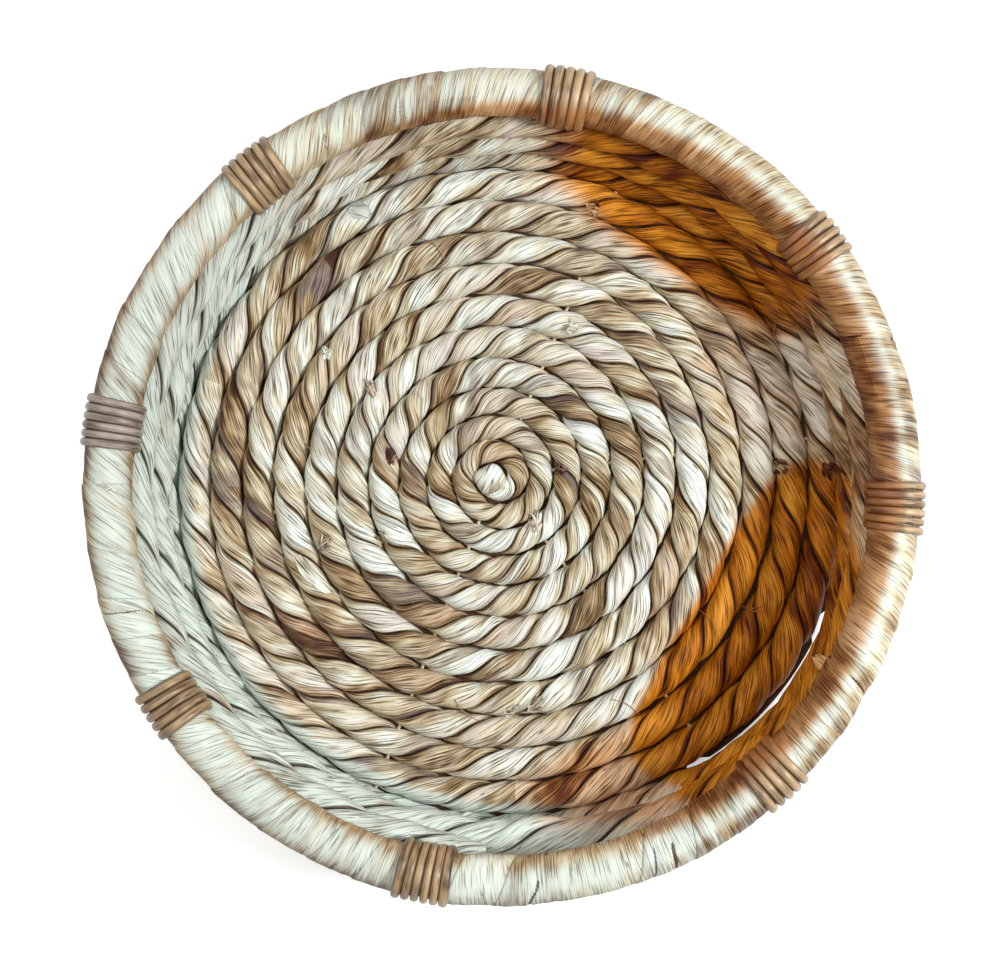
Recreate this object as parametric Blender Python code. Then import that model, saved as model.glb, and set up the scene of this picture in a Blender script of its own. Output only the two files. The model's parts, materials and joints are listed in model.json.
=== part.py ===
"""A round tray wound from leaf rope, with a leaf-wrapped hoop for a rim, tied on with cane.

Metres, +Z up. The origin is on the surface that the tray stands on, at the middle of the rim.
The rope is wound outwards anticlockwise as seen from above. The wall is two courses of rope
on the floor's last turn, the hoop lies on the wall, and eight lashings go round the hoop and
through the upper course.
"""
import math

import bmesh
import bpy
from mathutils import Matrix, Vector

# Floor coil
FLOOR_ROPE_RADIUS = 0.00715
FLOOR_ROPE_RADIUS_AT_EYE = 0.00425
FLOOR_ROPE_TIP_RADIUS = 0.0026
FLOOR_TURNS = 11.8333
FLOOR_FIRST_TURN = 0.3
FLOOR_TIP_TURNS = 0.65
FLOOR_GROWING_TURNS = 5.0
FLOOR_END_ANGLE = math.radians(-60.0)
FLOOR_POINTS_PER_TURN = 22
TURN_GAP = 0.0007
COIL_SHIFT_LEFT = 0.0022
COIL_SHIFT_BACK = 0.0042
OUTER_SHIFT_SHARE = 0.35
FLOOR_SLACK = 0.0050
FLOOR_SLACK_TURNS = 3.0

# Wall
WALL_ROPE_RADIUS = 0.0080
WALL_INSET = 0.0030
WALL_LEAN = 0.0035
WALL_START_ANGLE = math.radians(-59.0)
WALL_CLIMB_ANGLE = math.radians(30.0)
WALL_END_SHORT_ANGLE = math.radians(3.0)
WALL_POINTS_PER_TURN = 24
BULGE_ANGLE = math.radians(-33.0)
BULGE_HALF_ANGLE = math.radians(42.0)
BULGE_OF_LOWER_COURSE = 0.0070
BULGE_OF_UPPER_COURSE = 0.0030

# Rim
RIM_OVERHANG = 0.0055
CORE_RADIUS = 0.0092
WRAP_THICKNESS = 0.0012
WRAP_STEP = 0.0004
WRAP_SLIT = 0.0006
RIM_STATIONS = 48
STATIONS_PER_BAND = 2
RIM_SIDES = 10
SLIT_LASHING = 7
SCARF_LENGTH = 0.072
SCARF_ANGLE = math.radians(60.0)
SCARF_GAP = 0.0004
BRAD_RADIUS = 0.0008
BRAD_INSET = 0.0037
BRAD_SPACING = 0.0200

# Lashings: the angle in degrees of each about the rim's centre, and its turns of cane
LASHINGS = (
    (127.9, 6),
    (80.0, 5),
    (37.2, 5),
    (-3.2, 6),
    (-47.0, 5),
    (-100.9, 6),
    (-146.2, 5),
    (171.0, 6),
)
CANE_RADIUS = 0.00175
CANE_PITCH = 0.0043
LASHING_POINTS_PER_TURN = 10
LASHING_BITE = 0.0050

# Stitches: the angles of the wall's are in degrees
TWINE_RADIUS = 0.0008
FLOOR_STITCHES = 6
FLOOR_STITCH_ANGLE = math.radians(8.0)
FLOOR_STITCH_FIRST_TURN = 1.5
WALL_STITCH_ANGLES = (104.0, 149.5, 192.4, 236.4, -25.1, 17.0, 58.6)
TWINE_SIDES = 6

# Fits
SEAT_GAP = 0.0003
CUT_OVERRUN = 0.0040
WELD_DISTANCE = 0.000001
SHARP_ANGLE = math.radians(50.0)

FLAT_SHARE = math.cos(math.pi / 6)
REST_FLAT_SHARE = 0.8
STITCH_REACH_SHARE = 0.5
EGG_POINTS = 20
EGG_CHORD_SHARE = math.cos(math.pi / EGG_POINTS)
LOOP_CHORD_SHARE = math.cos(math.pi / LASHING_POINTS_PER_TURN)


def clear_scene():
    """Remove whatever the scene holds."""
    for found in list(bpy.data.objects):
        bpy.data.objects.remove(found)


def material(name, colour, roughness, metallic=0.0):
    """A plain finish for one kind of piece."""
    made = bpy.data.materials.new(name)
    made.use_nodes = True
    shader = made.node_tree.nodes["Principled BSDF"]
    shader.inputs["Base Color"].default_value = (*colour, 1.0)
    shader.inputs["Roughness"].default_value = roughness
    shader.inputs["Metallic"].default_value = metallic
    return made


def smooth(mesh):
    """Shade a round piece smooth but keep its cut edges."""
    mesh.shade_smooth()
    mesh.set_sharp_from_angle(angle=SHARP_ANGLE)


def place(name, mesh, finish):
    """Put a mesh into the scene as a named piece."""
    mesh.name = name
    mesh.materials.clear()
    mesh.materials.append(finish)
    smooth(mesh)
    piece = bpy.data.objects.new(name, mesh)
    bpy.context.scene.collection.objects.link(piece)
    return piece


def cut(piece, cutter):
    """Take the cutter's shape out of the piece, and mark it as a tool."""
    cutter.hide_render = True
    cutter.display_type = "WIRE"
    boolean = piece.modifiers.new("cut_" + cutter.name, "BOOLEAN")
    boolean.operation = "DIFFERENCE"
    boolean.solver = "EXACT"
    boolean.object = cutter


def tube_mesh(points, radii):
    """An unbroken six-sided tube along points, as a mesh, with its own radius at each point."""
    curve = bpy.data.curves.new("tube", "CURVE")
    curve.dimensions = "3D"
    curve.twist_mode = "Z_UP"
    curve.bevel_depth = max(radii)
    curve.bevel_resolution = 1
    curve.use_fill_caps = True
    spline = curve.splines.new("POLY")
    spline.points.add(len(points) - 1)
    for knot, point, radius in zip(spline.points, points, radii):
        knot.co = (*point, 1.0)
        knot.radius = radius / curve.bevel_depth
    guide = bpy.data.objects.new("tube", curve)
    bpy.context.scene.collection.objects.link(guide)
    evaluated = guide.evaluated_get(bpy.context.evaluated_depsgraph_get())
    mesh = bpy.data.meshes.new_from_object(evaluated)
    bpy.data.objects.remove(guide)
    return ready_to_cut(mesh)


def ready_to_cut(mesh):
    """Join a tube's end caps to its sides and split its bent four-sided faces."""
    shape = bmesh.new()
    shape.from_mesh(mesh)
    bmesh.ops.remove_doubles(shape, verts=shape.verts, dist=WELD_DISTANCE)
    bmesh.ops.triangulate(shape, faces=shape.faces)
    shape.to_mesh(mesh)
    shape.free()
    return mesh


def mesh_from(corners, faces):
    """A mesh from corners and faces."""
    mesh = bpy.data.meshes.new("shape")
    mesh.from_pydata([tuple(corner) for corner in corners], [], faces)
    mesh.validate()
    return mesh


def rod_mesh(start, end, radius, sides):
    """A straight round rod between two points."""
    axis = (end - start).normalized()
    side = axis.orthogonal().normalized()
    up = axis.cross(side)
    corners = []
    for centre in (start, end):
        for step in range(sides):
            turn = math.tau * step / sides
            corners.append(centre + radius * (math.cos(turn) * side + math.sin(turn) * up))
    faces = [(k, (k + 1) % sides, sides + (k + 1) % sides, sides + k) for k in range(sides)]
    faces.append(tuple(reversed(range(sides))))
    faces.append(tuple(range(sides, sides + sides)))
    return mesh_from(corners, faces)


def least_gap(name, points, radii, skip):
    """Print the least gap of a wound tube to itself, measured between its points."""
    least = math.inf
    for first in range(len(points)):
        for second in range(first + skip, len(points)):
            gap = (points[first] - points[second]).length - radii[first] - radii[second]
            least = min(least, gap)
    print(f"{name}: least gap to itself {least * 1000:.2f} mm")


def polar(angle, radius, height=0.0):
    """The point at an angle and a radius about the tray's middle."""
    return Vector((radius * math.cos(angle), radius * math.sin(angle), height))


def swell_at(angle):
    """How far into the slumped side an angle lies, from 0 outside it to 1 at its middle."""
    away = abs((angle - BULGE_ANGLE + math.pi) % math.tau - math.pi) / BULGE_HALF_ANGLE
    return math.cos(min(away, 1.0) * math.pi / 2) ** 2


# The floor coil's rule

def floor_rope_radius(turn):
    """The rope thickens over its first turns, and its very tip is thin."""
    share = min(turn / FLOOR_GROWING_TURNS, 1.0)
    full = FLOOR_ROPE_RADIUS_AT_EYE + share * (FLOOR_ROPE_RADIUS - FLOOR_ROPE_RADIUS_AT_EYE)
    tip = min((turn - FLOOR_FIRST_TURN) / FLOOR_TIP_TURNS, 1.0)
    return min(full, FLOOR_ROPE_TIP_RADIUS + tip * (full - FLOOR_ROPE_TIP_RADIUS))


def floor_coil_radius(turn):
    """Each turn lies a rope's diameter and a gap outside the one before."""
    growth = FLOOR_ROPE_RADIUS - FLOOR_ROPE_RADIUS_AT_EYE
    growing = min(turn, FLOOR_GROWING_TURNS)
    radius = (2 * FLOOR_ROPE_RADIUS_AT_EYE + TURN_GAP) * growing
    radius += growth * growing * growing / FLOOR_GROWING_TURNS
    return radius + (2 * FLOOR_ROPE_RADIUS + TURN_GAP) * max(turn - FLOOR_GROWING_TURNS, 0.0)


def floor_height():
    """The rope's middle stands so high that its underside is cut flat by a tenth of its diameter."""
    return REST_FLAT_SHARE * FLOOR_ROPE_RADIUS


def floor_angle(turn):
    """The angle of a turn of the coil, which ends at its end angle."""
    return FLOOR_END_ANGLE + math.tau * (turn - FLOOR_TURNS)


def floor_slack(turn):
    """The outer turns lie further out on the side where the wall has slumped."""
    share = max(1.0 + (turn - FLOOR_TURNS) / FLOOR_SLACK_TURNS, 0.0)
    return FLOOR_SLACK * share * swell_at(floor_angle(turn))


def floor_point(turn):
    """The rope's middle at a turn of the coil, whose eye is off the tray's middle."""
    share = 1.0 - (1.0 - OUTER_SHIFT_SHARE) * turn / FLOOR_TURNS
    offset = share * Vector((-COIL_SHIFT_LEFT, COIL_SHIFT_BACK, 0.0))
    radius = floor_coil_radius(turn) + floor_slack(turn)
    return offset + polar(floor_angle(turn), radius, floor_height())


def floor_last_turn(angle):
    """The outermost turn's count at an angle about the coil's own middle."""
    back = (FLOOR_END_ANGLE - angle) % math.tau
    return FLOOR_TURNS - back / math.tau


# The wall's rule

def floor_top():
    """The flat top of the floor's rope."""
    return floor_height() + FLAT_SHARE * FLOOR_ROPE_RADIUS


def wall_height(level):
    """The middle of the rope of the lower course, level 0, or the upper one, level 1."""
    lower = floor_top() + SEAT_GAP + FLAT_SHARE * WALL_ROPE_RADIUS
    return lower + level * (2 * FLAT_SHARE * WALL_ROPE_RADIUS + SEAT_GAP)


def wall_radius(angle, level):
    """The wall leans out a little, and has slumped outwards on one side."""
    swell = swell_at(angle)
    lower = floor_coil_radius(FLOOR_TURNS) - WALL_INSET + swell * BULGE_OF_LOWER_COURSE
    upper = floor_coil_radius(FLOOR_TURNS) - WALL_INSET + WALL_LEAN + swell * BULGE_OF_UPPER_COURSE
    return lower + level * (upper - lower)


def wall_level(travel):
    """The wall's rope climbs from the lower course to the upper one just before its own start."""
    climb = (travel - (math.tau - WALL_CLIMB_ANGLE)) / WALL_CLIMB_ANGLE
    climb = min(max(climb, 0.0), 1.0)
    return climb * climb * (3.0 - 2.0 * climb)


def wall_point(travel):
    """The middle of the wall's rope, by the angle travelled from its start."""
    level = wall_level(travel)
    angle = WALL_START_ANGLE + travel
    return polar(angle, wall_radius(angle, level), wall_height(level))


# The rim's rule

def rim_radius():
    """The hoop's middle stands outside the upper course's."""
    return floor_coil_radius(FLOOR_TURNS) - WALL_INSET + WALL_LEAN + RIM_OVERHANG


def wrap_radius():
    """The outside of the leaf wrapping."""
    return CORE_RADIUS + SEAT_GAP + WRAP_THICKNESS


def rim_height():
    """The wrapped hoop lies on the upper course."""
    return wall_height(1) + FLAT_SHARE * WALL_ROPE_RADIUS + SEAT_GAP + wrap_radius()


def slit_angle():
    """The wrapping begins and ends under one lashing."""
    return math.radians(LASHINGS[SLIT_LASHING][0])


def rim_ring(angle, radius):
    """One ring of points round the hoop's middle line."""
    ring = []
    for step in range(RIM_SIDES):
        turn = math.tau * step / RIM_SIDES
        out = rim_radius() + radius * math.cos(turn)
        ring.append(polar(angle, out, rim_height() + radius * math.sin(turn)))
    return ring


def ring_faces(count, first, second, flip=False):
    """The faces between two rings of points."""
    faces = []
    for step in range(count):
        after = (step + 1) % count
        face = (first + step, second + step, second + after, first + after)
        faces.append(face[::-1] if flip else face)
    return faces


def make_floor_coil(finish):
    """The floor: one rope wound from the middle out."""
    count = round((FLOOR_TURNS - FLOOR_FIRST_TURN) * FLOOR_POINTS_PER_TURN)
    turns = [FLOOR_FIRST_TURN + (FLOOR_TURNS - FLOOR_FIRST_TURN) * k / count for k in range(count + 1)]
    points = [floor_point(turn) for turn in turns]
    radii = [floor_rope_radius(turn) for turn in turns]
    least_gap("floor_coil", points, radii, FLOOR_POINTS_PER_TURN // 2)
    floor_coil = place("floor_coil", tube_mesh(points, radii), finish)
    reach = floor_coil_radius(FLOOR_TURNS) + 2 * FLOOR_ROPE_RADIUS
    low = -FLOOR_ROPE_RADIUS - CUT_OVERRUN
    ground = box_mesh(Vector((-reach, -reach, low)), Vector((reach, reach, 0.0)))
    cut(floor_coil, place("ground_cutter", ground, finish))
    return floor_coil


def box_mesh(low, high):
    """A box between two corners."""
    corners = [(x, y, z) for z in (low.z, high.z) for y in (low.y, high.y) for x in (low.x, high.x)]
    faces = [(0, 2, 3, 1), (4, 5, 7, 6), (0, 1, 5, 4), (2, 6, 7, 3), (0, 4, 6, 2), (1, 3, 7, 5)]
    return mesh_from(corners, faces)


def make_wall_coil(finish):
    """The wall: one rope of two courses, with the climb between them."""
    length = 2 * math.tau - WALL_CLIMB_ANGLE - WALL_END_SHORT_ANGLE
    count = round(length / math.tau * WALL_POINTS_PER_TURN)
    points = [wall_point(length * k / count) for k in range(count + 1)]
    radii = [WALL_ROPE_RADIUS] * len(points)
    return place("wall_coil", tube_mesh(points, radii), finish)


def make_rim_core(finish):
    """The hoop inside the rim: a rod bent round and joined by a long scarf."""
    corners = []
    faces = []
    for station in range(RIM_STATIONS):
        corners += rim_ring(slit_angle() + math.tau * station / RIM_STATIONS, CORE_RADIUS)
        after = (station + 1) % RIM_STATIONS
        faces += ring_faces(RIM_SIDES, station * RIM_SIDES, after * RIM_SIDES)
    rim_core = place("rim_core", mesh_from(corners, faces), finish)
    cut(rim_core, scarf_cutter(finish))
    return rim_core


def scarf_frame():
    """Where the scarf is: along the hoop, across it and up."""
    middle = polar(SCARF_ANGLE, rim_radius(), rim_height())
    slope = math.atan2(2 * CORE_RADIUS, SCARF_LENGTH)
    return Matrix.Translation(middle) @ Matrix.Rotation(SCARF_ANGLE + math.pi / 2 + slope, 4, "Z")


def scarf_cutter(finish):
    """A thin slanted slab that parts the hoop's two tapered ends."""
    half = Vector((SCARF_LENGTH, SCARF_GAP / 2, CORE_RADIUS + CUT_OVERRUN))
    slab = box_mesh(-half, half)
    slab.transform(scarf_frame())
    return place("scarf_cutter", slab, finish)


def brad_ends(index):
    """The two ends of a brad, which goes square through the scarf and stops short of the hoop's skin."""
    along = BRAD_SPACING * (index - 0.5)
    reach = CORE_RADIUS - BRAD_INSET
    frame = scarf_frame()
    return frame @ Vector((along, -reach, 0.0)), frame @ Vector((along, reach, 0.0))


def make_brads(rim_core, finish):
    """Two brads pin the scarf."""
    for index in range(2):
        start, end = brad_ends(index)
        reach = (end - start).normalized() * CUT_OVERRUN
        hole = rod_mesh(start - reach, end + reach, BRAD_RADIUS + SEAT_GAP, TWINE_SIDES)
        cut(rim_core, place(f"brad_hole_{index + 1}", hole, finish))
        place(f"scarf_brad_{index + 1}", rod_mesh(start, end, BRAD_RADIUS, TWINE_SIDES), finish)


def make_rim_wrap(finish):
    """The leaf wrapping: overlapping bands round the hoop, each a little proud of the next."""
    corners = []
    faces = []
    outer = []
    bands = RIM_STATIONS // STATIONS_PER_BAND
    margin = WRAP_SLIT / (2 * rim_radius())
    for station in range(RIM_STATIONS + 1):
        angle = slit_angle() + math.tau * station / RIM_STATIONS
        angle += margin * ((station == 0) - (station == RIM_STATIONS))
        tucked = wrap_radius() - WRAP_STEP
        share = (station % STATIONS_PER_BAND) / STATIONS_PER_BAND
        if station % STATIONS_PER_BAND:
            outer.append((angle, tucked + share * WRAP_STEP))
        else:
            outer += [(angle, wrap_radius())] * (station > 0)
            outer += [(angle, tucked)] * (station < bands * STATIONS_PER_BAND)
    for angle, radius in outer:
        corners += rim_ring(angle, radius)
    inner_start = len(outer)
    for station in range(RIM_STATIONS + 1):
        angle = slit_angle() + math.tau * station / RIM_STATIONS
        angle += margin * ((station == 0) - (station == RIM_STATIONS))
        corners += rim_ring(angle, CORE_RADIUS + SEAT_GAP)
    for ring in range(inner_start - 1):
        faces += ring_faces(RIM_SIDES, ring * RIM_SIDES, (ring + 1) * RIM_SIDES)
    for ring in range(inner_start, inner_start + RIM_STATIONS):
        faces += ring_faces(RIM_SIDES, ring * RIM_SIDES, (ring + 1) * RIM_SIDES, flip=True)
    last_inner = (inner_start + RIM_STATIONS) * RIM_SIDES
    faces += ring_faces(RIM_SIDES, 0, inner_start * RIM_SIDES, flip=True)
    faces += ring_faces(RIM_SIDES, (inner_start - 1) * RIM_SIDES, last_inner)
    return place("rim_wrap", mesh_from(corners, faces), finish)


# The lashings' rule

def egg(turn, share=1.0, spread=0.0):
    """A loop's shape about the hoop, deeper below it, where it takes in some of the wall's rope."""
    around = (wrap_radius() + SEAT_GAP) / LOOP_CHORD_SHARE + CANE_RADIUS
    below = around + LASHING_BITE
    depth = around if math.sin(turn) > 0 else below
    across = (share * around + spread) * math.cos(turn)
    return Vector((across, (share * depth + spread) * math.sin(turn)))


def lashing_point(lashing, turn):
    """The middle of the cane after some turns of a lashing."""
    angle, turns = lashing
    along = CANE_PITCH * (turn - turns / 2) / rim_radius()
    loop = egg(math.tau * turn - math.pi / 2)
    return polar(math.radians(angle) + along, rim_radius() + loop.x, rim_height() + loop.y)


def make_lashing(index, finish):
    """One lashing: cane wound round the hoop and through the wall's rope."""
    lashing = LASHINGS[index]
    count = lashing[1] * LASHING_POINTS_PER_TURN
    points = [lashing_point(lashing, k / LASHING_POINTS_PER_TURN) for k in range(count + 1)]
    name = f"lashing_{index + 1}"
    least_gap(name, points, [CANE_RADIUS] * len(points), LASHING_POINTS_PER_TURN // 2)
    return place(name, tube_mesh(points, [CANE_RADIUS] * len(points)), finish)


def lashing_tunnel(index, finish):
    """The way that a lashing takes through the wall's rope: a ring that clears its cane."""
    angle, turns = LASHINGS[index]
    half = CANE_PITCH * turns / 2 + CANE_RADIUS + SEAT_GAP
    spread = CANE_RADIUS / LOOP_CHORD_SHARE + SEAT_GAP
    rings = [(along, 1 / EGG_CHORD_SHARE, spread) for along in (-half, 0.0, half)]
    rings += [(along, LOOP_CHORD_SHARE, -spread) for along in (half, 0.0, -half)]
    corners = []
    for along, share, grow in rings:
        for step in range(EGG_POINTS):
            loop = egg(math.tau * (step + 0.5) / EGG_POINTS - math.pi / 2, share, grow)
            turn = math.radians(angle) + along / rim_radius()
            corners.append(polar(turn, rim_radius() + loop.x, rim_height() + loop.y))
    faces = []
    for ring in range(len(rings)):
        faces += ring_faces(EGG_POINTS, ring * EGG_POINTS, ((ring + 1) % len(rings)) * EGG_POINTS)
    return place(f"tunnel_{index + 1}", mesh_from(corners, faces), finish)


# The stitches

def make_floor_stitches(floor_coil, finish):
    """Twines sewn straight out through all the floor's turns hold them together."""
    for index in range(FLOOR_STITCHES):
        last = floor_last_turn(FLOOR_STITCH_ANGLE + math.tau * index / FLOOR_STITCHES)
        first = last - math.floor(last - FLOOR_STITCH_FIRST_TURN)
        bore_twine(f"floor_stitch_{index + 1}", floor_point(first), floor_point(last), [floor_coil], finish)


def make_wall_stitches(floor_coil, wall_coil, finish):
    """Twines hold the wall's courses together, and to the floor where its last turn lies under them."""
    for index, degrees in enumerate(WALL_STITCH_ANGLES):
        angle = math.radians(degrees)
        head = polar(angle, wall_radius(angle, 1), wall_height(1))
        foot = polar(angle, wall_radius(angle, 0), wall_height(0))
        sewn = [wall_coil]
        under = floor_point(floor_last_turn(angle))
        under_radius = math.hypot(under.x, under.y)
        if abs(under_radius - wall_radius(angle, 0)) < STITCH_REACH_SHARE * FLOOR_ROPE_RADIUS:
            foot = polar(angle, under_radius, floor_height())
            sewn.append(floor_coil)
        bore_twine(f"wall_stitch_{index + 1}", foot, head, sewn, finish)


def bore_twine(name, start, end, sewn, finish):
    """A twine and the bore that it takes through each rope."""
    reach = (end - start).normalized() * SEAT_GAP
    for rope in sewn:
        bore = rod_mesh(start - reach, end + reach, TWINE_RADIUS + SEAT_GAP, TWINE_SIDES)
        cut(rope, place(f"{name}_bore_in_{rope.name}", bore, finish))
    place(name, rod_mesh(start, end, TWINE_RADIUS, TWINE_SIDES), finish)


def make_tray():
    """Every piece of the tray."""
    clear_scene()
    floor_coil = make_floor_coil(material("floor_rope", (0.60, 0.45, 0.26), 0.75))
    wall_coil = make_wall_coil(material("wall_rope", (0.62, 0.54, 0.36), 0.75))
    rim_core = make_rim_core(material("rattan_core", (0.55, 0.38, 0.20), 0.60))
    make_brads(rim_core, material("brad_steel", (0.45, 0.44, 0.42), 0.45, 1.0))
    make_rim_wrap(material("leaf_wrapping", (0.68, 0.56, 0.34), 0.55))
    cane = material("cane", (0.36, 0.20, 0.09), 0.35)
    for index in range(len(LASHINGS)):
        make_lashing(index, cane)
        cut(wall_coil, lashing_tunnel(index, cane))
    twine = material("twine", (0.52, 0.44, 0.30), 0.80)
    make_floor_stitches(floor_coil, twine)
    make_wall_stitches(floor_coil, wall_coil, twine)


make_tray()
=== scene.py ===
"""The looks of a round tray wound from leaf rope, with a leaf-wrapped hoop for a rim.

Metres, +Z up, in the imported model's frame. Node trees grow the rope's strands, the hoop's
wrapping and the cane lashings along the same windings as the solids. The leaf's laps, folds
and colours are laid on them afterwards.
"""
import json
import math
from functools import partial

import bpy
import numpy as np
from bpy.props import FloatProperty, FloatVectorProperty, PointerProperty
from mathutils import Matrix, Vector

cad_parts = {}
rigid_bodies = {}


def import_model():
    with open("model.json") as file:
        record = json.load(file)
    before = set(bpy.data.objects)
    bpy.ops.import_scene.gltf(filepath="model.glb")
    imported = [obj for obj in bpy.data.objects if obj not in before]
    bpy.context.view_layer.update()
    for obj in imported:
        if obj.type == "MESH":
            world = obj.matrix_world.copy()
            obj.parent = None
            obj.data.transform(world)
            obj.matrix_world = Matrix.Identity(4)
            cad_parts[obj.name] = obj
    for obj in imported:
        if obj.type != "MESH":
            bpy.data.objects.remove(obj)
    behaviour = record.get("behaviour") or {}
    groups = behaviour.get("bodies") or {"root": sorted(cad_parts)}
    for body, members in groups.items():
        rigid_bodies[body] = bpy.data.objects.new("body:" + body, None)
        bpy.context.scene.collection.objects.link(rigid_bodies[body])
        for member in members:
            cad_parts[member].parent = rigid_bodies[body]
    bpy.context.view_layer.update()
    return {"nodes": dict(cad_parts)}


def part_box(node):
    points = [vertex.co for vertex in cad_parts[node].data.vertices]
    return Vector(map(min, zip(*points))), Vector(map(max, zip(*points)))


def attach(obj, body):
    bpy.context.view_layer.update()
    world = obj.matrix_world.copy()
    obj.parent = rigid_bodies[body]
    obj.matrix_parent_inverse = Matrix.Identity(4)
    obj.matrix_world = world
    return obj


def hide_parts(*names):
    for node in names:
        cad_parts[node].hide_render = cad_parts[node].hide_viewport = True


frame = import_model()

bl_info = {
    "name": "Rope Tray",
    "version": (1, 0, 0),
    "blender": (4, 5, 0),
    "location": "3D View > Sidebar > Rope Tray",
    "description": "Makes the finish of a round tray wound from leaf rope",
    "category": "Object",
}

WRAP_LOW, WRAP_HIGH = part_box("rim_wrap")
HOOP_TUBE = (WRAP_HIGH.z - WRAP_LOW.z) / 2
HOOP_HEIGHT = (WRAP_HIGH.z + WRAP_LOW.z) / 2
HOOP_RADIUS = WRAP_HIGH.x - HOOP_TUBE

# The least height of soft pieces over the ground
GROUND_GAP = 0.0004

# Slumped side: its middle and half its width, in degrees
SLUMP_MIDDLE, SLUMP_HALF = -33.0, 42.0

# Floor's lay, the length of rope in which its strands go once round, at four radii
LAY_RADII = (0.0, 0.047, 0.094, 0.147)
LAYS = (0.026, 0.031, 0.046, 0.054)

# Wall's rope: where it starts, the climb to the upper course, how far it ends short of two turns,
# and the length and the share of its radius to which its ends taper
WALL_START, WALL_CLIMB, WALL_SHORT = math.radians(-59), math.radians(30), math.radians(3)
WALL_TAPER, WALL_END_SHARE = 0.016, 0.55

# Bed between the floor's turns, a dark filler standing for the shade in the gaps: its height, its
# radius in shares of the rope's and at least, its least radius along the last turn and how much it
# gains there on the slumped side, and its tops
BED_HEIGHT, BED_SHARE, BED_LEAST, BED_OUTER, BED_GAIN = 0.0036, 0.55, 0.003, 0.0012, 0.0026
BED_TOP, BED_OUTER_TOP = 0.008, 0.0028

# Bed along the last turn: where light comes through it, in degrees, and half how far
BED_THIN = ((-14.4, 1.6), (-24.2, 1.9), (-55.0, 1.3))

# Strands: the depth of their groove, the paleness, seed, lap and lines of their leaf's finish,
# and the seed, width, slope and lip of their leaves
STRANDS = {
    "floor": {"groove": 0.24, "bright": 0.08, "seed": 0.0, "lap": 0.06, "lines": 1.0,
              "leaves": (31, 0.0135, 0.16, 0.0009)},
    "wall": {"groove": 0.2, "bright": 0.06, "seed": 20.0, "lap": 0.05, "lines": 0.9,
             "leaves": (71, 0.016, 0.1, 0.001)},
}

# Leaf over a strand: the height and size of its folds and of its lumps, its least length and
# how much longer it can be, and the radius of rope below which all of these fade
FOLD, FOLD_SIZE, LUMP, LUMP_SIZE = 0.00022, 0.0022, 0.00045, 0.013
LEAF_LENGTH, LEAF_LONGER, THIN_ROPE = 0.09, 0.16, 0.006

# Lashings: the angle in degrees of each about the rim's centre, its turns of cane and their pitch
LASHINGS = (
    (127.6, 6, 0.0038), (80.0, 5, 0.0042), (37.0, 5, 0.004), (-3.2, 6, 0.0036),
    (-46.6, 5, 0.0042), (-100.7, 6, 0.0039), (-146.0, 5, 0.0042), (171.0, 6, 0.0036),
)
GREYEST_LASHING = 7

# Cane: how flat each turn is pressed and how unevenly, how much wider it spreads, and its length
# in a turn
CANE_FLAT, CANE_UNEVEN, CANE_SPREAD, CANE_TURN = 0.74, 0.11, 0.22, 0.084

# Wrapping: where it has split, in degrees round the rim, and how far open in shares
WRAP_SPLITS = (
    (-86.0, 0.8), (-76.5, 0.5), (-68.6, 0.7), (-65.6, 1.0), (-58.0, 0.4), (-30.5, 0.7),
    (19.8, 1.0), (62.0, 0.4), (97.0, 0.5), (115.0, 0.4), (143.0, 0.5), (160.0, 0.4),
    (-163.0, 0.6), (-128.0, 0.4),
)
SPLIT_WIDTH, SPLIT_DEPTH = 0.0009, 0.0006

# Wrapping: the height and size of its folds and of its lumps, how strong the painted highlight
# along its top is, and how much its leaf is darkened as painted shade outside, in the warm shade
# and, to offset the lamp, where it faces it
BAND_FOLD, BAND_FOLD_SIZE, BAND_LUMP, BAND_LUMP_SIZE = 0.00012, 0.0026, 0.00035, 0.013
RIM_HIGHLIGHT, OUTER_SHADE_DARKENS, SHADE_DULLS, LAMP_SIDE_DARKENS = 0.74, 0.75, 0.9, 0.42

# Rim's warm shade: its strength and, in degrees, its middle round the tray, where it starts
# round the hoop there and how much further round it starts a quarter of the tray away
SHADE_STRENGTH, SHADE_MIDDLE, SHADE_START, SHADE_LATER = 0.56, 15.0, 92.0, 56.0

# Cut leaf ends: where each tuft stands out of the rope, its direction in degrees, length, tone
# and hue. Then how many ends a tuft has, how far they fan out in degrees and start apart, and
# the width of each
TUFTS = (
    (-0.0806, 0.0602, 90, 0.004, 1.2, 0.5), (-0.0591, 0.0425, 107, 0.0062, -0.1, 0.8),
    (-0.0507, 0.0114, 79, 0.0062, -0.8, 0.6), (-0.0841, -0.0284, 53, 0.0066, 0.0, 0.15),
    (-0.0539, -0.0251, 130, 0.004, 0.0, 0.5), (0.0035, -0.1051, 17, 0.005, 0.2, 0.5),
    (0.0136, -0.1028, 22, 0.006, 0.0, 0.5), (0.0164, -0.0205, 90, 0.007, 0.4, 0.7),
    (0.0302, 0.0722, 6, 0.005, 0.3, 0.5), (0.026, 0.0063, 40, 0.0034, -0.9, 0.9),
    (0.1268, 0.0108, -58, 0.005, -0.9, 0.5), (0.149, 0.0089, -66, 0.005, -0.9, 0.5),
    (0.0413, 0.1295, -17, 0.004, -0.1, 0.5),
)
TUFT_ENDS, TUFT_FAN, TUFT_SPREAD, TUFT_WIDTH = 14, 76, 0.0034, 0.0013

# Loose leaf: its two ends, width, tone and hue
TAILS = (
    (-0.0704, 0.129, -0.0597, 0.1261, 0.009, 1.8, 0.1),
    (-0.0945, -0.033, -0.079, -0.05, 0.008, 0.55, 0.5),
    (0.138, -0.0747, 0.1461, -0.0823, 0.007, 1.2, 0.5),
    (0.0855, 0.1413, 0.1075, 0.1207, 0.006, -0.4, 0.5),
)

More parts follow.
